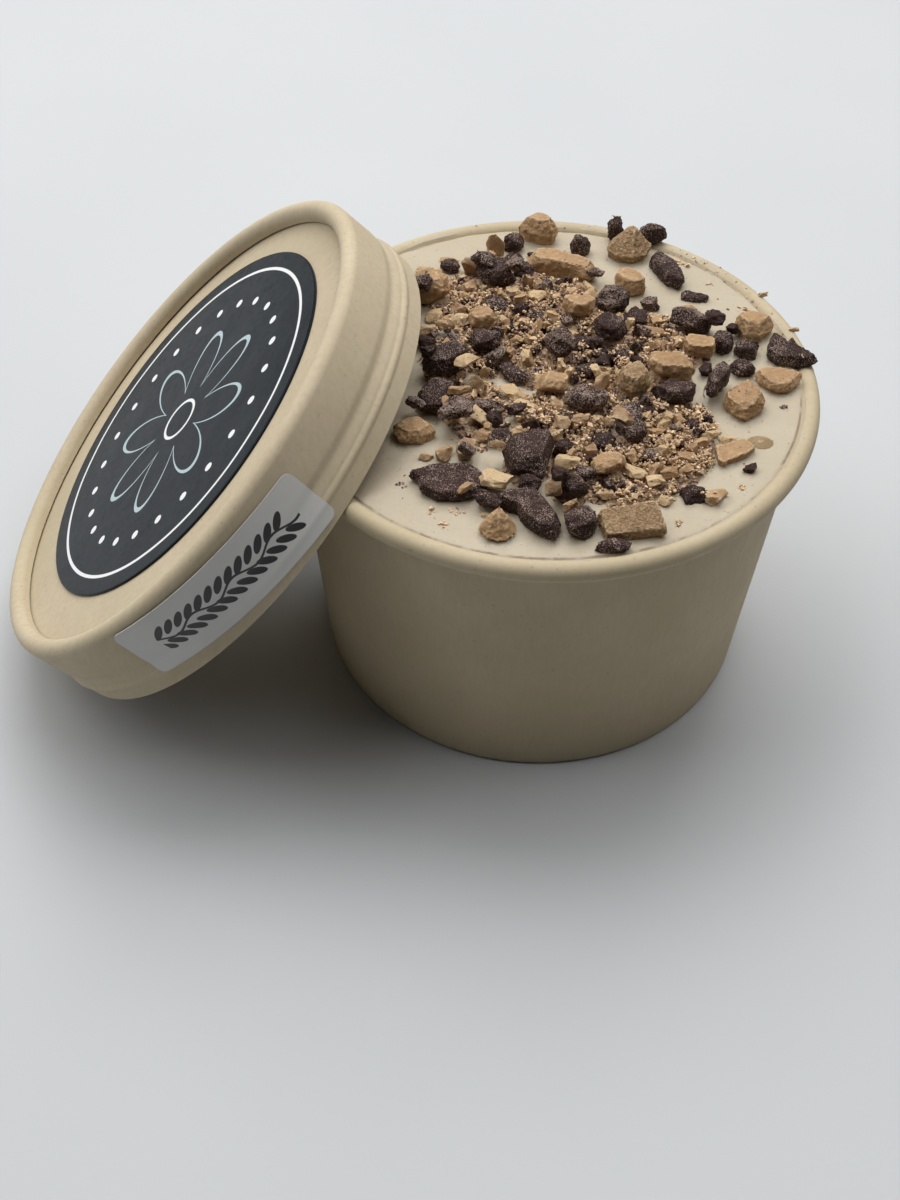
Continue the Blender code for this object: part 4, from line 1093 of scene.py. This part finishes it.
# What fills the heap: how many, least and greatest width in mm, how many places are tried for the lowest
# one, how far it reaches as a share of the heap, and how far from the heap's level it may lie
SMALL = (860, 1.7, 4.8, 3, 0.97, -0.1)
GRAINS = (2400, 0.7, 1.6, 2, 1.02, 0.35)
DUST = (30000, 0.30, 0.80, 1, 1.06, 0.75)
STRAY = 150
PILE_STEP = 0.55


def build_heap(finishes, ground, rng):
    """Everything smaller than a berry that lies in the heap, the largest first."""
    shards = {
        "peanut": Scatter(broken_bits(24, 9, 0.09, 0.22, rng)),
        "chocolate": Scatter(rough_bits(16, CHOCOLATE_BITS, 0.145, rng)),
    }
    for kind, table in (("peanut", PEANUT_SHARDS), ("chocolate", CHOCOLATE_SHARDS)):
        for x, y, width, depth, height, turn, lean in table:
            size = (width, depth, height)
            shards[kind].drop(ground, (x, y), size, math.radians(turn), math.radians(lean), 0.1, rng, True)
    small = {kind: Scatter(broken_bits(30, 8, 0.09, 0.24, rng)) for kind in ("peanut", "chocolate")}
    grains = {kind: Scatter(broken_bits(24, 6, 0, 0, rng)) for kind in ("peanut", "chocolate")}
    dust = {kind: Scatter(broken_bits(12, 3, 0, 0, rng)) for kind in ("peanut", "chocolate")}
    for group, (count, least, greatest, tries, limit, over) in ((small, SMALL), (grains, GRAINS), (dust, DUST)):
        for _ in range(count):
            best = None
            for _ in range(tries):
                x, y, share = random_place(rng, 1.1, group is not small)
                cell = ground.index(x), ground.index(y)
                if not in_heap(x, y, limit) or (ground.clean[cell] and rng.random() < 0.96):
                    continue
                if ground.stands_out(x, y, 1.5) > PILE_STEP:
                    continue
                if best is None or ground.height[cell] < best[0]:
                    best = (ground.height[cell], x, y, share)
            if best is None or best[0] > heap_top(*best[1:3]) + over:
                continue
            share = best[3] if group is small else 1 - 0.45 * (1 - best[3])
            kind = "peanut" if rng.random() < share else "chocolate"
            width = least + (greatest - least) * rng.random() ** 1.8
            size = (width, width * rng.uniform(0.55, 0.95), width * rng.uniform(0.5, 0.95))
            ceiling = heap_top(*best[1:3]) + over + 0.8
            group[kind].drop(ground, best[1:3], size, rng.random() * 2 * math.pi, rng.uniform(-0.6, 0.6), 0.15, rng,
                             ceiling=ceiling)
    for _ in range(STRAY):
        angle = rng.random() * 2 * math.pi
        reach = 36 + 16.5 * rng.random() ** 0.7
        place = reach * math.cos(angle), reach * math.sin(angle)
        width = 0.22 + 0.5 * rng.random() ** 3
        kind = rng.choice(("peanut", "chocolate", "chocolate"))
        dust[kind].drop(ground, place, (width, width * 0.8, width * 0.6), rng.random() * 6, 0.2, 0.3, rng)
    for x, y, width, depth in CRUMBS:
        kind = rng.choice(("peanut", "peanut", "chocolate"))
        for k in range(9):
            place = x + rng.gauss(0, 0.35 * width), y + rng.gauss(0, 0.35 * depth)
            size = rng.uniform(0.25, 0.6) * min(width, depth)
            group = grains if k < 3 else dust
            group[kind].drop(ground, place, (size, size * 0.8, size * 0.5), rng.random() * 6, 0.2, 0.2, rng)
    for x, y, width, depth, height, turn in RIM_SLIVERS:
        shards["peanut"].drop(ground, (x, y), (width, depth, height), math.radians(turn), 0.3, 0.1, rng, True)
    for _ in range(RIM_SPECKS):
        angle = math.radians(rng.triangular(0, 115, 50))
        reach = rng.triangular(53.2, 56.6, 54.2)
        size = 0.2 + 0.5 * rng.random() ** 2
        kind = rng.choice(("peanut", "chocolate"))
        place = reach * math.cos(angle), reach * math.sin(angle)
        dust[kind].drop(ground, place, (size, size * 0.8, size * 0.5), rng.random() * 6, 0.2, 0.25, rng)
    for kind, slot in (("peanut", "peanut_butter_pieces"), ("chocolate", "chocolate")):
        shards[kind].build(kind + "_shards", finishes[kind + "_bits"], slot, 75)
        small[kind].build(kind + "_small_pieces", finishes[kind + "_bits"], slot, 75)
        grains[kind].build(kind + "_grains", finishes[kind + "_grains"], "mixed_crumbs", 25)
        dust[kind].build(kind + "_dust", finishes[kind + "_grains"], "mixed_crumbs", 25)


SMEAR_RADII = (54.1, 54.3, 54.5, 54.7, 54.9, 55.2, 55.5, 55.8, 56.1)


def build_gelato(finish, ground):
    """The gelato: its scraped top with soft feet round the pieces that stand in it, and its plug below."""
    inner = np.concatenate((np.linspace(0.4, 52.4, FILL_RINGS), (52.9, 53.3, 53.6, FILL_EDGE)))
    radii = np.concatenate((inner, SMEAR_RADII))
    angles = all_round(FILL_COLUMNS)
    radius, theta = np.meshgrid(radii, angles, indexing="ij")
    x, y = radius * np.cos(theta), radius * np.sin(theta)
    height = TOP - scraped_dip(x, y)
    height += 0.16 * waver(x, y, 0 * x, 0.10) + 0.05 * waver(x, y, 0 * x + 5, 0.5)
    edge = np.clip((radius - 46) / 7, 0, 1)
    height += edge * (0.10 * waver(x, y, 0 * x + 3, 0.9) + 0.10 * waver(theta * 20, radius / 3, 0 * x, 0.5))
    height -= 0.5 * np.clip((radius - 52.6) / 1.3, 0, 1) ** 2
    height += 0.5 * ground.closeness(x, y)
    bead = BEAD_HEIGHT + np.sqrt(np.clip(BEAD_RADIUS ** 2 - (radius - RIM_RADIUS + BEAD_RADIUS) ** 2, 0, None))
    along = waver(np.cos(theta) * 3, np.sin(theta) * 3, 0 * x, 1.0) + 0.6 * waver(x, y, 0 * x + 7, 0.35)
    smear = np.clip(along * 1.5 - (radius - FILL_EDGE) / 0.9 + 0.35, -1, 1)
    over = bead + 0.10 * smear + 0.04 * waver(x, y, 0 * x + 2, 0.9)
    height = np.where(radius > FILL_EDGE, np.where(smear > 0, over, bead - 0.15), height)
    sides = [(wall_line(BEAD_HEIGHT) - 0.15, BEAD_HEIGHT), (wall_line(NECK_HEIGHT), NECK_HEIGHT)]
    sides += [(wall_line(h), h) for h in (50.0, 30.0, 12.0)]
    foot = FLOOR_HEIGHT + FLOOR_SHEET / 2 + 0.05
    sides += [(wall_line(foot) - 0.4, foot), (24.0, foot), (0.4, foot)]
    points = np.vstack((np.stack((x, y, height), 2), around(sides, angles)))
    add_ring_mesh("gelato_fill", points, finish, "gelato", replaces=["gelato"])


def build_sunk_piece(finish):
    """A piece that has sunk into the gelato until only its smooth oval top shows."""
    x, y, width, depth = SUNK_PIECE
    share, theta = np.meshgrid(np.sin(np.linspace(0.01, math.pi / 2, 12)), all_round(64), indexing="ij")
    wide = 1 + 0.06 * waver(np.cos(theta), np.sin(theta), 0 * theta, 1.3)
    across, along = share * wide * np.cos(theta) * width / 2, share * wide * np.sin(theta) * depth / 2
    dome = 0.75 * np.sqrt(1 - share ** 2)
    level = TOP - float(scraped_dip(x, y)) - 0.3
    top, low = (np.stack((x + across, y + along, level + rise * dome), 2) for rise in (1, -1.2))
    add_ring_mesh("sunk_piece", np.vstack((top, low[::-1])), finish, "peanut_butter_pieces")


def smooth_steps(steps, count):
    """Points along a stepped profile with eased turns, as (height, out)."""
    steps = np.array(steps)
    heights = np.linspace(steps[0, 0], steps[-1, 0], count)
    k = np.clip(np.searchsorted(steps[:, 0], heights, side="right") - 1, 0, len(steps) - 2)
    share = (heights - steps[k, 0]) / (steps[k + 1, 0] - steps[k, 0])
    share = share * share * (3 - 2 * share)
    return np.stack((heights, steps[k, 1] * (1 - share) + steps[k + 1, 1] * share), 1)


def lid_place():
    """Matrix from the lid's frame to the world."""
    drop = LID_RADIUS * math.sin(LID_TILT)
    place = CUP_AXIS + Vector((LID_PLACE[0], LID_PLACE[1], drop)) * MM
    turn = Matrix.Rotation(LID_BEARING, 4, "Z") @ Matrix.Rotation(LID_TILT, 4, "Y")
    return Matrix.Translation(place) @ turn @ Matrix.Rotation(-math.pi / 2, 4, "Z")


def band_out(height):
    """The band's outer radius at a height."""
    profile = smooth_steps(BAND_STEPS, 60)
    return LID_RADIUS + np.interp(height, profile[:, 0], profile[:, 1])


def build_lid(finish, place):
    """The lid's band in one lapped sheet with its rolled edge, and the sunk panel."""
    profile = smooth_steps(BAND_STEPS, 44)
    path = [(LID_RADIUS + out - LID_SHEET / 2, height) for height, out in profile]
    path += [(LID_RADIUS - 0.2 - LID_SHEET / 2, 15.2)]
    axis = (ROLL_AXIS_RADIUS, LID_HEIGHT - ROLL_RADIUS)
    path += arc(axis, ROLL_RADIUS - LID_SHEET / 2, 0, 180, 24)
    path.append((ROLL_AXIS_RADIUS - ROLL_RADIUS + LID_SHEET / 2, PANEL_HEIGHT + 0.42))
    travel = np.concatenate(((0,), np.cumsum(np.linalg.norm(np.diff(np.array(path), axis=0), axis=1))))
    marks = np.array(LID_LAP)
    lap = np.radians(np.interp(travel, marks[:, 0], marks[:, 1]))
    shear = np.concatenate((lap, lap[::-1]))
    run = np.concatenate((travel, travel[::-1]))

    def offset(theta, height):
        stand = lap_step(theta - shear[:, None], 0.0, LID_RADIUS) * 0.9
        stand *= np.clip((len(path) - 1 - 24 - np.arange(len(run)))[:, None] / 10, 0, 1)
        roll = np.clip((run[:, None] - 16) / 3, 0, 1)
        puckers = waver(np.cos(theta) * LID_RADIUS, np.sin(theta) * LID_RADIUS, run[:, None] / 9, 0.42)
        side = np.clip(np.cos(theta - math.radians(50)), 0.15, 1)
        sway = waver(np.cos(theta) * 2, np.sin(theta) * 2, height / 30, 1.0)
        return stand + 0.09 * roll * side * puckers + 0.12 * sway

    points = around(sheet_outline(path, LID_SHEET), columns_round(LID_COLUMNS, 0.0), shear, offset)
    add_ring_mesh("lid_side", points, finish, "lid_paper", turned=False, place=place, crease=60,
                  replaces=["lid_band"])

    outer = ROLL_AXIS_RADIUS + ROLL_RADIUS - LID_SHEET - 0.3
    rows = [(r, PANEL_HEIGHT) for r in (0.01, 10, 20, 30, 40, 46, 50, 53, 55)]
    rows += arc((outer - PANEL_SHEET - 0.8, PANEL_HEIGHT + 0.8), 0.8, 270, 360, 5)
    rows += [(outer - PANEL_SHEET, FLANGE_HEIGHT), (outer, FLANGE_HEIGHT)]
    rows += arc((outer - 1.4, PANEL_HEIGHT - PANEL_SHEET + 1.4), 1.4, 360, 270, 6)
    rows += [(r, PANEL_HEIGHT - PANEL_SHEET) for r in (50, 40, 30, 20, 10, 0.01)]
    points = around(rows, all_round(LID_COLUMNS))
    inner = np.clip(1 - np.hypot(points[:, :, 0], points[:, :, 1]) / 54, 0, 1) ** 0.5
    points[:, :, 2] += 0.10 * inner * waver(points[:, :, 0], points[:, :, 1], 0 * inner, 0.05)
    add_ring_mesh("lid_disc", points, finish, "lid_paper", place=place, crease=50, replaces=["lid_panel"])


def build_sticker(finish, place):
    """The round sticker, a thin film with faint ripples."""
    radii = np.concatenate((np.linspace(0.05, STICKER_RADIUS - 0.4, 24), (STICKER_RADIUS - 0.15, STICKER_RADIUS)))
    radius, theta = np.meshgrid(radii, all_round(200), indexing="ij")
    x = STICKER_PLACE[0] + radius * np.cos(theta)
    y = STICKER_PLACE[1] + radius * np.sin(theta)
    rise = STICKER_SHEET - 0.12 * (radius > STICKER_RADIUS - 0.1)
    ripple = 0.06 * np.clip((STICKER_RADIUS - radius) / 5, 0, 1) * waver(x, y, 0 * x, 0.09)
    top = np.stack((x, y, STICKER_FOOT + rise + ripple), 2)
    low = np.stack((x, y, STICKER_FOOT - 0.2 + 0 * x), 2)[::-1]
    add_ring_mesh("round_sticker", np.vstack((top, low)), finish, "sticker_film", place=place, crease=40,
                  replaces=["lid_sticker"])


def build_label(finish, place):
    """The long label, bent round the band with rounded corners."""
    half = LABEL_LENGTH / 2
    ends = LABEL_CORNER * (1 - np.cos(np.linspace(0, math.pi / 2, 7)))
    inner = np.linspace(-half + LABEL_CORNER, half - LABEL_CORNER, 40)[1:-1]
    columns = np.concatenate((-half + ends, inner, (half - ends)[::-1]))
    over = np.maximum(0, np.abs(columns) - (half - LABEL_CORNER))
    width = LABEL_WIDTH / 2 - LABEL_CORNER + np.sqrt(np.maximum(LABEL_CORNER ** 2 - over ** 2, 0))
    rows = np.linspace(-1, 1, 25)
    along = np.repeat(columns[:, None], len(rows), 1)
    across = width[:, None] * rows[None, :]
    height = LABEL_HEIGHT + along * math.sin(LABEL_SLANT) + across * math.cos(LABEL_SLANT)
    run = along * math.cos(LABEL_SLANT) - across * math.sin(LABEL_SLANT)
    theta = LABEL_BEARING + run / LID_RADIUS
    layers = []
    for lift in (0.12, 0.12 + LABEL_SHEET):
        radius = 0.5 * (band_out(height) + LID_RADIUS - 0.15) + lift + 0.22
        layers.append(polar(radius, theta, height))
    points = np.vstack([layer.reshape(-1, 3) for layer in layers])
    r, c = len(rows), len(columns)
    faces = []
    for i in range(c - 1):
        for j in range(r - 1):
            low = i * r + j
            faces.append((low, low + 1, low + r + 1, low + r))
            faces.append(tuple(v + r * c for v in (low, low + r, low + r + 1, low + 1)))
    edge = [i * r for i in range(c)] + [(c - 1) * r + j for j in range(1, r)]
    edge += [i * r + r - 1 for i in range(c - 2, -1, -1)] + [j for j in range(r - 2, 0, -1)]
    for a, b in zip(edge, edge[1:] + edge[:1]):
        faces.append((a, b, b + r * c, a + r * c))
    add_mesh("long_label", points, faces, finish, "label_paper", place, 40, ["flavour_label"])


def add_floor():
    """A wide pale floor that the object stands on."""
    half = 3.0
    mesh = bpy.data.meshes.new("studio_floor")
    mesh.from_pydata([(-half, -half, 0), (half, -half, 0), (half, half, 0), (-half, half, 0)], [], [(0, 1, 2, 3)])
    mesh.materials.append(floor_finish())
    floor = add_object("studio_floor", mesh)


def add_area_light(name, place, target, size, power, colour=(1, 1, 1)):
    data = bpy.data.lights.new(name, "AREA")
    data.shape = "RECTANGLE"
    data.size, data.size_y = size
    data.energy = power
    data.color = colour
    light = add_object(name, data)
    aim = (Vector(target) - Vector(place)).to_track_quat("-Z", "Y")
    light.matrix_world = Matrix.Translation(place) @ aim.to_matrix().to_4x4()


def add_light():
    """Soft light from above and behind, and a faint pale surround."""
    world = bpy.data.worlds.new("studio")
    world.use_nodes = True
    world.node_tree.nodes["Background"].inputs["Color"].default_value = (0.93, 0.96, 1.0, 1)
    world.node_tree.nodes["Background"].inputs["Strength"].default_value = 0.025
    bpy.context.scene.world = world
    middle = (0.0, 0.03, 0.0)
    add_area_light("back_box", (0.0, 0.5, 0.95), middle, (0.8, 0.8), 9.2)
    add_area_light("left_box", (-0.5, 0.1, 0.9), middle, (0.8, 0.8), 4.8)
    add_area_light("right_box", (0.5, 0.1, 0.9), middle, (0.8, 0.8), 3.6)
    add_area_light("back_panel", (0.0, 1.3, 0.5), middle, (1.8, 0.8), 1.3)
    add_area_light("left_panel", (-1.3, 0.1, 0.5), middle, (1.2, 0.8), 4.1)
    bpy.context.scene.view_settings.view_transform = "Standard"


def build():
    rng = random.Random(SEED)
    noise.seed_set(SEED)  # noise_vector would go by the clock without it
    add_camera()
    add_light()
    add_floor()
    board = paper("cup_paper", (0.51, 0.421, 0.28), (0.465, 0.38, 0.248), 0.12)
    lid_board = paper("lid_paper", (0.545, 0.455, 0.315), (0.50, 0.412, 0.28), 0.22)
    finishes = {
        "peanut": peanut_finish("peanut_butter", 0.0),
        # The sugared pieces' tints are darker than the plain peanut butter's: painted shade on pieces whose faces lie
        # in shade
        "peanut_dusted": peanut_finish(
            "peanut_butter_sugared", 1.0, False, (0.25, 0.147, 0.067), (0.20, 0.117, 0.051)
        ),
        "peanut_sunk": peanut_finish("peanut_butter_sunk", 0.0, False, (0.28, 0.20, 0.098), (0.245, 0.172, 0.082)),
        "peanut_bits": peanut_finish("peanut_butter_bits", 0.2, True),
        "peanut_grains": crumb_finish(
            "peanut_grains", (0.79, 0.59, 0.38), (0.55, 0.37, 0.205), (0.24, 0.13, 0.09), 0.02
        ),
        "chocolate": chocolate_finish("chocolate", 0.3),
        "chocolate_dusted": chocolate_finish("chocolate_dusted", 0.8),
        "chocolate_bits": chocolate_finish("chocolate_bits", 0.2, True),
        "chocolate_grains": crumb_finish(
            "chocolate_grains", (0.24, 0.135, 0.105), (0.070, 0.036, 0.030), (0.38, 0.26, 0.20), 0.1
        ),
    }
    mixed = core_finish()
    ground = Ground()
    build_cup(board)
    build_core(mixed, ground)
    build_chunks(finishes, ground, rng)
    build_heap(finishes, ground, rng)
    build_gelato(gelato_finish(), ground)
    build_sunk_piece(finishes["peanut_sunk"])
    place = lid_place()
    build_lid(lid_board, place)
    build_sticker(sticker_finish(place), place)
    build_label(label_finish(place), place)


build()
